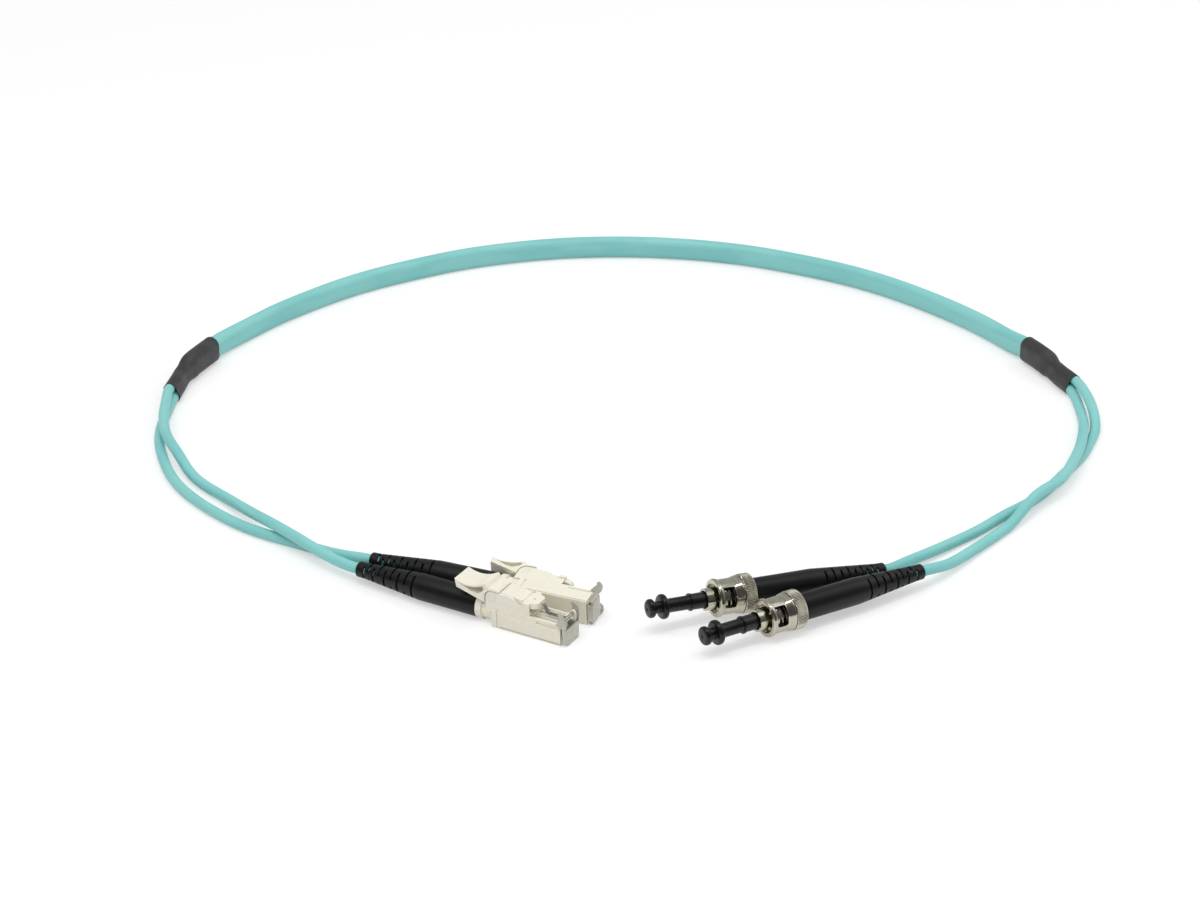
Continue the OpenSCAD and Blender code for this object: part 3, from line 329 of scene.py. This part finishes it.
turnedNickel = {"colour": "#c2beae", "second": "#b7b3a4", "roughness": (0.11, 0.19), "fine": 2.4,
                "coarse": 0.5, "coarseShare": 0.35, "bump": 0.12, "depth": 0.008, "metal": 1.0,
                "turned": (mm / 3, 6 * mm, 6 * mm)}    # one unit of its grain along x, then across it
materials = {name: finish(name, look) for name, look in looks.items()}
for plug in ("near_bayonet", "far_bayonet"):
    materials[plug + "TurnedNickel"] = finish(plug + "TurnedNickel", turnedNickel, plug)
print("finishes made")


# camera, floor and light

studio = {
    "cameraPlace": (-0.0064, -0.7675, 0.405), "cameraPitch": 63.0, "lens": 99.75, "sensor": 36.0,
    "clip": (0.01, 20), "floorHalf": 3.0, "paperGrey": 0.78, "floorGlow": 0.45, "skyStrength": 0.68,
    "darkFrom": (-0.55, 0.35), "darkSky": (0.1, 0.5),    # gloss sees a sky from dark in front to pale behind
}

lamps = {    # place and size in metres; each looks at the origin
    "keyLamp": {"place": (-0.35, -0.25, 0.9), "size": (0.7, 0.7), "watts": 2.2},
    "stripLamp": {"place": (0.05, -0.12, 0.8), "size": (0.5, 0.03), "watts": 1.3},
    "fillLamp": {"place": (0.6, 0.2, 0.6), "size": (0.6, 0.6), "watts": 1.1},
}


def areaLamp(name, lamp):    # a soft lamp of a width and height that looks at the origin
    data = bpy.data.lights.new(name, "AREA")
    data.shape = "RECTANGLE"
    data.size, data.size_y = lamp["size"]
    data.energy = lamp["watts"]
    made = bpy.data.objects.new(name, data)
    made.location = lamp["place"]
    made.rotation_euler = (-made.location).to_track_quat("-Z", "Y").to_euler()
    bpy.context.scene.collection.objects.link(made)


def seenRays(tree):    # 1 for camera, glossy and transmission rays
    rays = tree.nodes.new("ShaderNodeLightPath")
    first = tree.nodes.new("ShaderNodeMath")
    second = tree.nodes.new("ShaderNodeMath")
    first.operation = second.operation = "MAXIMUM"
    tree.links.new(rays.outputs["Is Camera Ray"], first.inputs[0])
    tree.links.new(rays.outputs["Is Glossy Ray"], first.inputs[1])
    tree.links.new(first.outputs[0], second.inputs[0])
    tree.links.new(rays.outputs["Is Transmission Ray"], second.inputs[1])
    return second.outputs[0]


def makeStudio():    # the camera, the sky, a pale paper floor and the lamps
    scene = bpy.context.scene
    scene.view_settings.view_transform = "Standard"
    camera = bpy.data.objects.new("camera", bpy.data.cameras.new("camera"))
    camera.location = studio["cameraPlace"]
    camera.rotation_euler = (math.radians(studio["cameraPitch"]), 0, 0)
    camera.data.lens = studio["lens"]
    camera.data.sensor_width = studio["sensor"]
    camera.data.clip_start, camera.data.clip_end = studio["clip"]
    scene.collection.objects.link(camera)
    scene.camera = camera

    world = bpy.data.worlds.new("studio")
    scene.world = world
    world.use_nodes = True
    tree = world.node_tree
    dim = tree.nodes["Background"]
    dim.inputs["Strength"].default_value = studio["skyStrength"]
    dim.inputs["Color"].default_value = (1, 1, 1, 1)
    bright = tree.nodes.new("ShaderNodeBackground")
    bright.inputs["Color"].default_value = (1, 1, 1, 1)
    mix = tree.nodes.new("ShaderNodeMixShader")
    tree.links.new(seenRays(tree), mix.inputs[0])
    tree.links.new(dim.outputs[0], mix.inputs[1])
    tree.links.new(bright.outputs[0], mix.inputs[2])
    tree.links.new(mix.outputs[0], tree.nodes["World Output"].inputs["Surface"])
    ways = tree.nodes.new("ShaderNodeSeparateXYZ")
    tree.links.new(tree.nodes.new("ShaderNodeTexCoord").outputs["Generated"], ways.inputs[0])
    skyLevel = tree.nodes.new("ShaderNodeMapRange")
    skyLevel.interpolation_type = "SMOOTHSTEP"
    skyLevel.inputs["From Min"].default_value, skyLevel.inputs["From Max"].default_value = studio["darkFrom"]
    skyLevel.inputs["To Min"].default_value, skyLevel.inputs["To Max"].default_value = studio["darkSky"]
    tree.links.new(ways.outputs["Y"], skyLevel.inputs["Value"])
    level = tree.nodes.new("ShaderNodeMath")
    level.operation = "MAXIMUM"
    tree.links.new(skyLevel.outputs["Result"], level.inputs[0])
    tree.links.new(tree.nodes.new("ShaderNodeLightPath").outputs["Is Camera Ray"], level.inputs[1])
    tree.links.new(level.outputs[0], bright.inputs["Strength"])

    half = studio["floorHalf"]
    mesh = bpy.data.meshes.new("floor")
    corners = [(-half, -half, 0), (half, -half, 0), (half, half, 0), (-half, half, 0)]
    mesh.from_pydata(corners, [], [(0, 1, 2, 3)])
    floor = bpy.data.objects.new("floor", mesh)
    scene.collection.objects.link(floor)
    paper = bpy.data.materials.new("floorPaper")
    paper.use_nodes = True
    tree = paper.node_tree
    tree.nodes.remove(tree.nodes["Principled BSDF"])
    plain = tree.nodes.new("ShaderNodeBsdfDiffuse")
    plain.inputs["Color"].default_value = (*[studio["paperGrey"]] * 3, 1)
    lit = tree.nodes.new("ShaderNodeBsdfDiffuse")
    lit.inputs["Color"].default_value = (1, 1, 1, 1)
    white = tree.nodes.new("ShaderNodeMixShader")    # part of the seen white is glow, so shadows stay faint
    white.inputs[0].default_value = studio["floorGlow"]
    tree.links.new(lit.outputs[0], white.inputs[1])
    tree.links.new(tree.nodes.new("ShaderNodeEmission").outputs[0], white.inputs[2])
    mix = tree.nodes.new("ShaderNodeMixShader")
    tree.links.new(seenRays(tree), mix.inputs[0])
    tree.links.new(plain.outputs[0], mix.inputs[1])
    tree.links.new(white.outputs[0], mix.inputs[2])
    tree.links.new(mix.outputs[0], tree.nodes["Material Output"].inputs["Surface"])
    mesh.materials.append(paper)

    for name, lamp in lamps.items():
        areaLamp(name, lamp)


makeStudio()
print("studio made")


# cable

cable = {
    "legWidth": 2.8 * mm, "trunkWidth": 3.8 * mm, "trunkHeight": 6.5 * mm, "legPitch": 3.0 * mm,
    "step": 0.6 * mm, "legSides": 32, "trunkSides": 48, "insideSleeve": 3.0 * mm, "hiddenRows": 24,
}

sleeves = {    # centre line from the trunk's end to the legs' end, and how far the legs' end is turned
    "left": {"path": [(-0.1097, 0.0551, 0.0039), (-0.1148, 0.0432, 0.0039), (-0.1155, 0.0412, 0.0036),
                      (-0.1180, 0.0286, 0.0030)], "roll": -20},
    "right": {"path": [(0.1208, 0.0551, 0.0039), (0.1260, 0.0439, 0.0039), (0.1268, 0.0420, 0.0036),
                       (0.1309, 0.0336, 0.0030)], "roll": 31},
}

trunkRoute = [
    (-0.1097, 0.0551, 0.0039), (-0.1055, 0.0630, 0.0035), (-0.1006, 0.0703, 0.00325),
    (-0.0939, 0.0793, 0.00325), (-0.0857, 0.0884, 0.00325), (-0.0737, 0.0997, 0.00325),
    (-0.0649, 0.1062, 0.00325), (-0.0532, 0.1133, 0.00325), (-0.0420, 0.1191, 0.00325),
    (-0.0301, 0.1235, 0.00325), (-0.0151, 0.1272, 0.00325), (0.0030, 0.1289, 0.00325),
    (0.0181, 0.1282, 0.00325), (0.0332, 0.1256, 0.00325), (0.0451, 0.1221, 0.00325),
    (0.0595, 0.1157, 0.00325), (0.0741, 0.1075, 0.00325), (0.0880, 0.0966, 0.00325),
    (0.1015, 0.0827, 0.00325), (0.1093, 0.0730, 0.00325), (0.1142, 0.0657, 0.00325),
    (0.1177, 0.0600, 0.0035), (0.1208, 0.0551, 0.0039)]

legs = {    # sleeve, upper (1) or lower (-1) leg there, plug, and the route between
    "leg_a": {"sleeve": "left", "which": 1, "plug": "near_latch", "route": [
        (-0.1186, 0.0215, 0.0044), (-0.1184, 0.0149, 0.0044), (-0.1174, 0.0060, 0.0044),
        (-0.1150, -0.0027, 0.0043), (-0.1120, -0.0086, 0.0032), (-0.1090, -0.0144, 0.0018),
        (-0.1050, -0.0213, 0.0015), (-0.0974, -0.0303, 0.0016), (-0.0897, -0.0411, 0.0030),
        (-0.0822, -0.0511, 0.0044), (-0.0756, -0.0584, 0.0044), (-0.0696, -0.0644, 0.0039),
        (-0.0642, -0.0690, 0.0035)]},
    "leg_b": {"sleeve": "left", "which": -1, "plug": "far_latch", "route": [
        (-0.1182, 0.0215, 0.0015), (-0.1189, 0.0086, 0.0014), (-0.1179, -0.0006, 0.0014),
        (-0.1162, -0.0078, 0.0014), (-0.1140, -0.0150, 0.0014), (-0.1099, -0.0240, 0.0014),
        (-0.1042, -0.0324, 0.0014), (-0.0963, -0.0412, 0.0014), (-0.0891, -0.0474, 0.0014),
        (-0.0822, -0.0518, 0.0014), (-0.0755, -0.0556, 0.0014), (-0.0692, -0.0600, 0.0019),
        (-0.0626, -0.0648, 0.0031)]},
    "leg_c": {"sleeve": "right", "which": 1, "plug": "far_bayonet", "route": [
        (0.1333, 0.0267, 0.0042), (0.1343, 0.0198, 0.0034), (0.1345, 0.0136, 0.0020),
        (0.1336, 0.0077, 0.0014), (0.1314, 0.0012, 0.0014), (0.1287, -0.0057, 0.0014),
        (0.1258, -0.0110, 0.0014), (0.1212, -0.0186, 0.0014), (0.1161, -0.0268, 0.0014),
        (0.1100, -0.0342, 0.0014), (0.1049, -0.0391, 0.0014), (0.0972, -0.0474, 0.0014),
        (0.0896, -0.0545, 0.0015), (0.0822, -0.0613, 0.0019), (0.0760, -0.0669, 0.0023)]},
    "leg_d": {"sleeve": "right", "which": -1, "plug": "near_bayonet", "route": [
        (0.1313, 0.0264, 0.0015), (0.1314, 0.0154, 0.0015), (0.1302, 0.0055, 0.0034),
        (0.1274, -0.0075, 0.0044), (0.1236, -0.0182, 0.0044), (0.1194, -0.0266, 0.0044),
        (0.1139, -0.0330, 0.0044), (0.1095, -0.0389, 0.0033), (0.1050, -0.0452, 0.0016),
        (0.0984, -0.0536, 0.0014), (0.0916, -0.0622, 0.0019), (0.0862, -0.0690, 0.0029)]},
}

bootTails = {"latch": (-35.6, 0, 3.4), "bayonet": (-47.25, 0, 0)}    # where a leg goes into its boot
jacketEnds = {"latch": (-8.2, 0, 3.4), "bayonet": (-18.25, 0, 0)}    # where its jacket ends inside


def sleeveEnd(side):
    # the last point of a sleeve, the way it points there, and the legs' spread: up turned by the roll
    p = np.array(sleeves[side]["path"]) - layoutMiddle
    way = unit(p[-1] - p[-2])
    roll = math.radians(sleeves[side]["roll"])
    across = unit(np.cross(way, [0, 0, 1.0]))
    spread = -math.sin(roll) * across + math.cos(roll) * np.cross(across, way)
    return p[-1], way, spread


def makeLeg(name):
    # a circle swept along one smooth curve from inside its sleeve to its boot, then straight on to where
    # its jacket ends, with its middle never lower than half its width
    leg = legs[name]
    end, way, spread = sleeveEnd(leg["sleeve"])
    start = end + leg["which"] * cable["legPitch"] / 2 * spread
    kind = leg["plug"].split("_")[1]
    tail, stop = fromPlug(leg["plug"], bootTails[kind]), fromPlug(leg["plug"], jacketEnds[kind])
    route = np.array(leg["route"]) - layoutMiddle
    points = np.vstack([start - way * cable["insideSleeve"], start, route, tail])
    free = smoothPath(points, way, stop - tail, cable["step"])
    hidden = tail + np.linspace(0, 1, cable["hiddenRows"])[1:, None] * (stop - tail)
    path = np.vstack([free, hidden])
    path[:, 2] = np.maximum(path[:, 2], cable["legWidth"] / 2)
    run = lengthAlong(path)
    section = stadium(cable["legWidth"], cable["legWidth"], cable["legSides"])
    roundAbout = np.linspace(0, math.pi * cable["legWidth"], cable["legSides"] + 1)
    mesh = gridMesh(name + "_jacket", sweep(path, section), uv=(run, roundAbout))
    piece = newPiece(name + "_jacket", mesh, materials["aquaJacket"], "cord", [name])
    print(name, "is", round(float(run[-1]), 4), "m long")


def makeTrunk():
    # a stadium swept along one smooth curve from inside one sleeve to inside the other
    left, right = (np.array(sleeves[s]["path"]) - layoutMiddle for s in ("left", "right"))
    startWay, endWay = unit(left[0] - left[1]), unit(right[1] - right[0])
    route = np.array(trunkRoute) - layoutMiddle
    inside = cable["insideSleeve"]
    points = np.vstack([route[0] - startWay * inside, route, route[-1] + endWay * inside])
    path = smoothPath(points, startWay, endWay, cable["step"])
    run = lengthAlong(path)
    section = stadium(cable["trunkWidth"], cable["trunkHeight"], cable["trunkSides"])
    around = np.concatenate([section, section[:1]])
    mesh = gridMesh("trunk_jacket", sweep(path, section), uv=(run, lengthAlong(around)))
    piece = newPiece("trunk_jacket", mesh, materials["aquaJacket"], "cord", ["trunk_sheath"])
    print("trunk is", round(float(run[-1]), 4), "m long")


for legName in legs:
    makeLeg(legName)
makeTrunk()


# split sleeves

sleeve = {
    "wall": 0.55 * mm, "thinSkirt": 0.22 * mm, "rows": 90, "sides": 72, "mouthDepth": 3.0 * mm,
    "shoulderFrom": 0.44, "shoulderTo": 0.60, "valley": 0.10, "valleyWidth": 0.9 * mm, "lip": 0.30 * mm,
    "ripple": 0.05 * mm, "waves": [(1.0, 3, 9), (0.6, 5, -23)],    # size, waves round and radians along
    "turnFrom": 0.4, "pathStep": 0.1 * mm, "smoothAngle": 50,
    "rimDepth": (0.0, 0.06, 0.3, 1.0), "rimDrawn": (0.45, 1.0, 1.0, 1.0), "rimLap": 0.05 * mm,
}


def makeSleeve(side):
    # a stadium that narrows at a shoulder from the trunk's size to the two legs', pinched between the legs,
    # with slow ripples of sines; it turns in over each rim and runs back inside
    p = np.array(sleeves[side]["path"]) - layoutMiddle
    path = smoothPath(p, p[1] - p[0], p[-1] - p[-2], sleeve["pathStep"])
    path = path[np.linspace(0, len(path) - 1, sleeve["rows"]).astype(int)]
    s = np.linspace(0, 1, sleeve["rows"])
    t = np.clip((s - sleeve["shoulderFrom"]) / (sleeve["shoulderTo"] - sleeve["shoulderFrom"]), 0, 1)
    thin = t * t * (3 - 2 * t)
    wall = 2 * sleeve["wall"]
    width = (1 - thin) * (cable["trunkWidth"] + wall) + thin * (cable["legWidth"] + wall)
    height = ((1 - thin) * (cable["trunkHeight"] + wall)
              + thin * (cable["legPitch"] + cable["legWidth"] + sleeve["thinSkirt"]))
    a = 2 * math.pi * (np.arange(sleeve["sides"]) + 0.5) / sleeve["sides"]
    x = width[:, None] / 2 * np.cos(a)
    y = width[:, None] / 2 * np.sin(a) + np.sign(np.sin(a)) * (height - width)[:, None] / 2
    x = x * (1 - sleeve["valley"] * thin[:, None] * np.exp(-(y / sleeve["valleyWidth"]) ** 2))
    ripple = sleeve["ripple"] * sum(most * np.sin(n * a + m * s[:, None]) for most, n, m in sleeve["waves"])
    fade = np.sin(math.pi * s)[:, None]
    size = np.hypot(x, y)
    x, y = x * (1 + ripple * fade / size), y * (1 + ripple * fade / size)
    turnFrom = sleeve["turnFrom"]
    turn = np.radians(sleeves[side]["roll"]) * np.clip((s - turnFrom) / (1 - turnFrom), 0, 1)[:, None]
    outer = np.stack([x * np.cos(turn) - y * np.sin(turn), x * np.sin(turn) + y * np.cos(turn)], -1)

    def shrunk(section, by):    # the same section drawn in by a distance
        return section * (1 - by / np.linalg.norm(section, axis=-1, keepdims=True))

    ways = unit(np.gradient(path, axis=0))
    rows, centres = [outer], [path]
    for end, way in ((0, ways[0]), (-1, -ways[-1])):    # rounded rim, then the inside
        depth = np.array(sleeve["rimDepth"]) * sleeve["mouthDepth"] - sleeve["rimLap"]
        drawn = np.array(sleeve["rimDrawn"]) * sleeve["lip"]
        sections = np.stack([shrunk(outer[end], d) for d in drawn])
        line = path[end] + way * depth[:, None]
        if end == 0:
            rows.insert(0, sections[::-1])
            centres.insert(0, line[::-1])
        else:
            rows.append(sections)
            centres.append(line)
    before, after = len(rows[0]), len(rows[2])
    allWays = np.vstack([np.tile(ways[0], (before, 1)), ways, np.tile(ways[-1], (after, 1))])
    line, sections = np.vstack(centres), np.vstack(rows)
    across = unit(np.cross(allWays, [0, 0, 1.0]))
    top = np.cross(across, allWays)
    grid = line[:, None] + sections[..., 0:1] * across[:, None] + sections[..., 1:2] * top[:, None]
    name = side + "_shrink_sleeve"
    mesh = gridMesh(name, grid)
    newPiece(name, mesh, materials["shrinkTube"], "cord", [side + "_split_sleeve"],
             sleeve["smoothAngle"])


for side in sleeves:
    makeSleeve(side)
print("cable and sleeves made")


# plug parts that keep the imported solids' shape

nodeLooks = {    # finish, record slot and edge rounding in mm of each kind of plug part
    "housing": ("ivoryPlastic", "ivory_plastic", 0.16), "lever": ("ivoryPlastic", "ivory_plastic", 0.14),
    "lever_pin": ("ivoryPlastic", "ivory_plastic", 0.08), "shutter": ("satinSteel", "nickel", 0.08),
    "shutter_pin": ("nickelPlate", "nickel", 0.06), "shutter_leaf": ("springSteel", "spring_steel", 0.05),
    "ferrule": ("whiteCeramic", "ceramic", 0.05), "ferrule_holder": ("nickelPlate", "nickel", 0.06),
    "rear_body": ("nickelPlate", "nickel", 0.06), "crimp_sleeve": ("nickelPlate", "nickel", 0.06),
    "fibre": ("fibreBuffer", "fibre_buffer", 0.0), "boot": ("bootElastomer", "boot_elastomer", 0.12),
    "dust_cap": ("capPlastic", "cap_plastic", 0.1), "guide_barrel": ("nickelPlate", "nickel", 0.08),
    "coupling_nut": ("nickelPlate", "nickel", 0.1), "thrust_washer": ("springSteel", "spring_steel", 0.04),
    "rear_post": ("nickelPlate", "nickel", 0.06),
}
moulding = {"merge": 1e-6, "flatAngle": 2, "edgeAngle": 32, "segments": 2}    # metres, degrees, count

knurl = {"teeth": 72, "perTooth": 6, "rows": 16, "front": -6.9, "back": -9.85, "outer": 4.93,
         "depth": 0.13, "fade": 0.4, "smoothAngle": 50}    # front to fade in mm


def bodyOf(node):    # the name of the body that holds a node
    return next(b for b, ns in frame["record"]["behaviour"]["bodies"].items() if node in ns)


def clampRim(own):
    # the rim of a nut drawn in to the root of its knurl: radius is at most the root's behind the groove
    radius = np.hypot(own[:, 1], own[:, 2])
    rootRadius = knurl["outer"] - knurl["depth"]
    proud = (own[:, 0] < knurl["front"]) & (radius > rootRadius)
    own[proud, 1:] *= (rootRadius / radius[proud])[:, None]


# mm: panelTop and ribTop are heights, rib and neck are places along x
ledge = {"panelTop": 4.0, "wallHalf": 3.12, "rib": (4.9, 6.2), "ribTop": 5.0, "neck": 3.0, "step": 0.04}
cutMerge = 1e-7    # metres


def cutLedge(work, plug):
    # flat cuts square to x and z, a step apart, where the side walls of a housing will stand back
    step, (ribBack, ribFront) = ledge["step"], ledge["rib"]
    heights = [ledge["panelTop"], ledge["panelTop"] + step, ledge["ribTop"], ledge["ribTop"] + step]
    cuts = [(2, z) for z in heights] + [(0, x) for x in (ribBack - step, ribBack, ribFront, ribFront + step)]
    for axis, place in cuts:
        bmesh.ops.bisect_plane(work, geom=work.verts[:] + work.edges[:] + work.faces[:], dist=cutMerge,
                               plane_co=fromPlug(plug, place * np.eye(3)[axis]),
                               plane_no=plugTurn(plug)[:, axis])


def setBack(own):
    # side points above the label panels move in to the walls' half width, but not on the rib or the neck
    x, y, z = own.T
    half = ledge["step"] / 2
    onRib = (x > ledge["rib"][0] - half) & (x < ledge["rib"][1] + half) & (z < ledge["ribTop"] + half)
    moved = (z > ledge["panelTop"] + half) & (x > ledge["neck"]) & ~onRib
    own[:, 1] = np.where(moved, np.clip(y, -ledge["wallHalf"], ledge["wallHalf"]), y)


hooks = {"from": 4.6, "rise": 5.0, "forward": 1.1, "down": 0.4}    # mm


def leanHooks(own):
    # the hooked cheeks of a shutter lean forward: x and z shift by a share that grows from the wall's top up
    share = np.clip((own[:, 2] - hooks["from"]) / hooks["rise"], 0, 1)
    own[:, 0] += hooks["forward"] * share
    own[:, 2] -= hooks["down"] * share


# what moves the points of a kind of part before its edges are rounded
reshape = {"coupling_nut": clampRim, "housing": setBack, "lever_pin": setBack, "shutter": leanHooks}


def mergeFlats(work):    # faces that lie in one plane become one face
    bmesh.ops.dissolve_limit(work, angle_limit=math.radians(moulding["flatAngle"]), verts=work.verts,
                             edges=work.edges)


def roundedCopy(node, rounding):
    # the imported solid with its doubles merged, its flat faces made whole and its edges rounded over
    name = node + "_moulded"
    plug, kind = "_".join(node.split("_")[:2]), node.split("_", 2)[2]
    mesh = frame["nodes"][node].data.copy()
    mesh.name = name
    mesh.materials.clear()
    work = bmesh.new()
    work.from_mesh(mesh)
    bmesh.ops.remove_doubles(work, verts=work.verts, dist=moulding["merge"])
    mergeFlats(work)
    if kind == "housing":
        cutLedge(work, plug)
    work.to_mesh(mesh)
    if kind in reshape:
        points = np.zeros(len(mesh.vertices) * 3)
        mesh.vertices.foreach_get("co", points)
        own = toPlug(plug, points.reshape(-1, 3))
        reshape[kind](own)
        mesh.vertices.foreach_set("co", fromPlug(plug, own).ravel())
    if kind == "housing":
        work.clear()
        work.from_mesh(mesh)
        mergeFlats(work)
        work.to_mesh(mesh)
    work.free()
    look, slot, _ = nodeLooks[kind]
    material = materials[look]
    if slot == "nickel":    # nickel on a bayonet plug is turned
        material = materials.get(plug + "TurnedNickel", material)
    piece = newPiece(name, mesh, material, bodyOf(node), [node], moulding["edgeAngle"])
    if rounding:
        bevel = piece.modifiers.new("rounding", "BEVEL")
        bevel.limit_method = "ANGLE"
        bevel.angle_limit = math.radians(moulding["edgeAngle"])
        bevel.width = rounding * mm
        bevel.segments = moulding["segments"]


for node in frame["nodes"]:
    if ("latch_" in node or "bayonet_" in node) and not node.endswith("_spring"):
        roundedCopy(node, nodeLooks[node.split("_", 2)[2]][2])


# bay floors, knurled rims and coil springs

bayFloor = {    # x from and to, then half a section of y and height from the middle out, in mm
    "from": 15.7, "to": 22.85, "smoothAngle": 30,
    "top": [(0.0, 5.12), (1.05, 5.12), (1.15, 4.6), (2.3, 4.6), (2.35, 5.06), (2.66, 5.06)],
    "under": [(2.66, 4.4), (0.95, 4.4), (0.85, 4.82), (0.0, 4.82)],
}
# the stop that closes the bore at the back of the bay
bayStop = {"from": 15.4, "to": 15.7, "half": 1.8, "bottom": 4.4, "top": 5.8}


def drawnOut(section, ends, first):
    # a closed section of y and z set at two places along x, joined by a band of quads and capped
    n = len(section)
    own = np.vstack([np.column_stack([np.full(n, x), section]) for x in ends])
    k = np.arange(n)
    band = np.column_stack([k, (k + 1) % n, (k + 1) % n + n, k + n]) + first
    return own, band.tolist() + [(k[::-1] + first).tolist(), (k + n + first).tolist()]


def makeBayFloor(plug):
    # two shallow pockets beside a raised middle, mirrored in y, and a low stop behind them
    name = plug + "_bay_floor"
    half = np.array(bayFloor["top"] + bayFloor["under"])
    floorSection = np.vstack([half, (half * (-1, 1))[::-1][1:-1]])
    side, bottom, top = bayStop["half"], bayStop["bottom"], bayStop["top"]
    stopSection = np.array([(side, bottom), (side, top), (-side, top), (-side, bottom)])
    floorPoints, floorFaces = drawnOut(floorSection, (bayFloor["from"], bayFloor["to"]), 0)
    stopPoints, stopFaces = drawnOut(stopSection, (bayStop["from"], bayStop["to"]), len(floorPoints))
    mesh = bpy.data.meshes.new(name)
    points = fromPlug(plug, np.vstack([floorPoints, stopPoints]))
    mesh.from_pydata(points.tolist(), [], floorFaces + stopFaces)
    newPiece(name, mesh, materials["ivoryPlastic"], "cord", [plug + "_housing"],
             bayFloor["smoothAngle"])


def makeKnurl(plug):
    # radius = root + depth * |cos(half the teeth * angle)| * a quarter circle's rise at each edge; it runs
    # back under the rim, so the ring is shut
    front, back, outer, depth = (knurl[k] for k in ("front", "back", "outer", "depth"))
    around = knurl["teeth"] * knurl["perTooth"]
    angle = 2 * math.pi * np.arange(around) / around
    middle, half = (front + back) / 2, (front - back) / 2
    x = middle - half * np.cos(np.linspace(0, math.pi, knurl["rows"]))
    edge = np.clip((half - np.abs(x - middle)) / knurl["fade"], 0, 1)
    rise = np.sqrt(1 - (1 - edge) ** 2)[:, None]
    radius = outer - depth * (1 - np.abs(np.cos(knurl["teeth"] * angle / 2)) * rise)
    under = np.full((2, around), outer - 2 * depth)
    radius = np.vstack([radius, under])
    x = np.concatenate([x, [x[-1], x[0]]])
    along = np.broadcast_to(x[:, None], radius.shape)
    own = np.stack([along, radius * np.cos(angle), radius * np.sin(angle)], -1)
    mesh = gridMesh(plug + "_knurl", fromPlug(plug, own), ringShut=True)
    newPiece(plug + "_knurl", mesh, materials[plug + "TurnedNickel"], plug + "_nut_body",
             [plug + "_coupling_nut"], knurl["smoothAngle"])


springs = {    # along each plug's x from and to, coil radius, wire, turns, height of its axis, in mm
    "ferrule_spring": {"from": 6.0, "to": 11.95, "radius": 1.85, "wire": 0.5, "turns": 5, "axis": 3.4,
                       "joint": "ferrule_float", "travel": 1.0, "fixed": 6.0},
    "nut_spring": {"from": -8.0, "to": -2.4, "radius": 3.075, "wire": 0.65, "turns": 3.5, "axis": 0.0,
                   "joint": "nut_push", "travel": 2.0, "fixed": -2.4},
}
coilMesh = {"perTurn": 28, "sides": 14, "smoothAngle": 50}


def makeSpring(plug, kind):
    # a helix x = from + pitch * turn, (y, z) = radius * (cos, sin), with a round wire set on its radius
    # and its binormal
    coil = springs[kind]
    length, wire = coil["to"] - coil["from"], coil["wire"]
    turn = np.linspace(0, coil["turns"], int(coil["turns"] * coilMesh["perTurn"]) + 1)
    a = 2 * math.pi * turn
    x = coil["from"] + wire / 2 + (length - wire) * turn / coil["turns"]
    outward = np.stack([0 * a, np.cos(a), np.sin(a)], -1)
    line = coil["radius"] * outward + np.stack([x, 0 * a, 0 * a + coil["axis"]], -1)
    binormal = np.cross(unit(np.gradient(line, axis=0)), outward)
    b = 2 * math.pi * np.arange(coilMesh["sides"]) / coilMesh["sides"]
    ring = np.cos(b)[:, None] * outward[:, None] + np.sin(b)[:, None] * binormal[:, None]
    mesh = gridMesh(plug + "_" + kind + "_coil", fromPlug(plug, line[:, None] + wire / 2 * ring))
    piece = newPiece(plug + "_" + kind + "_coil", mesh, materials["springSteel"], "cord",
                     [plug + "_" + kind], coilMesh["smoothAngle"])
    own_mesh(piece)


for plug in plugPoses:
    if "bayonet" in plug:
        makeKnurl(plug)
        makeSpring(plug, "nut_spring")
    else:
        makeBayFloor(plug)
        makeSpring(plug, "ferrule_spring")
print("plugs made")
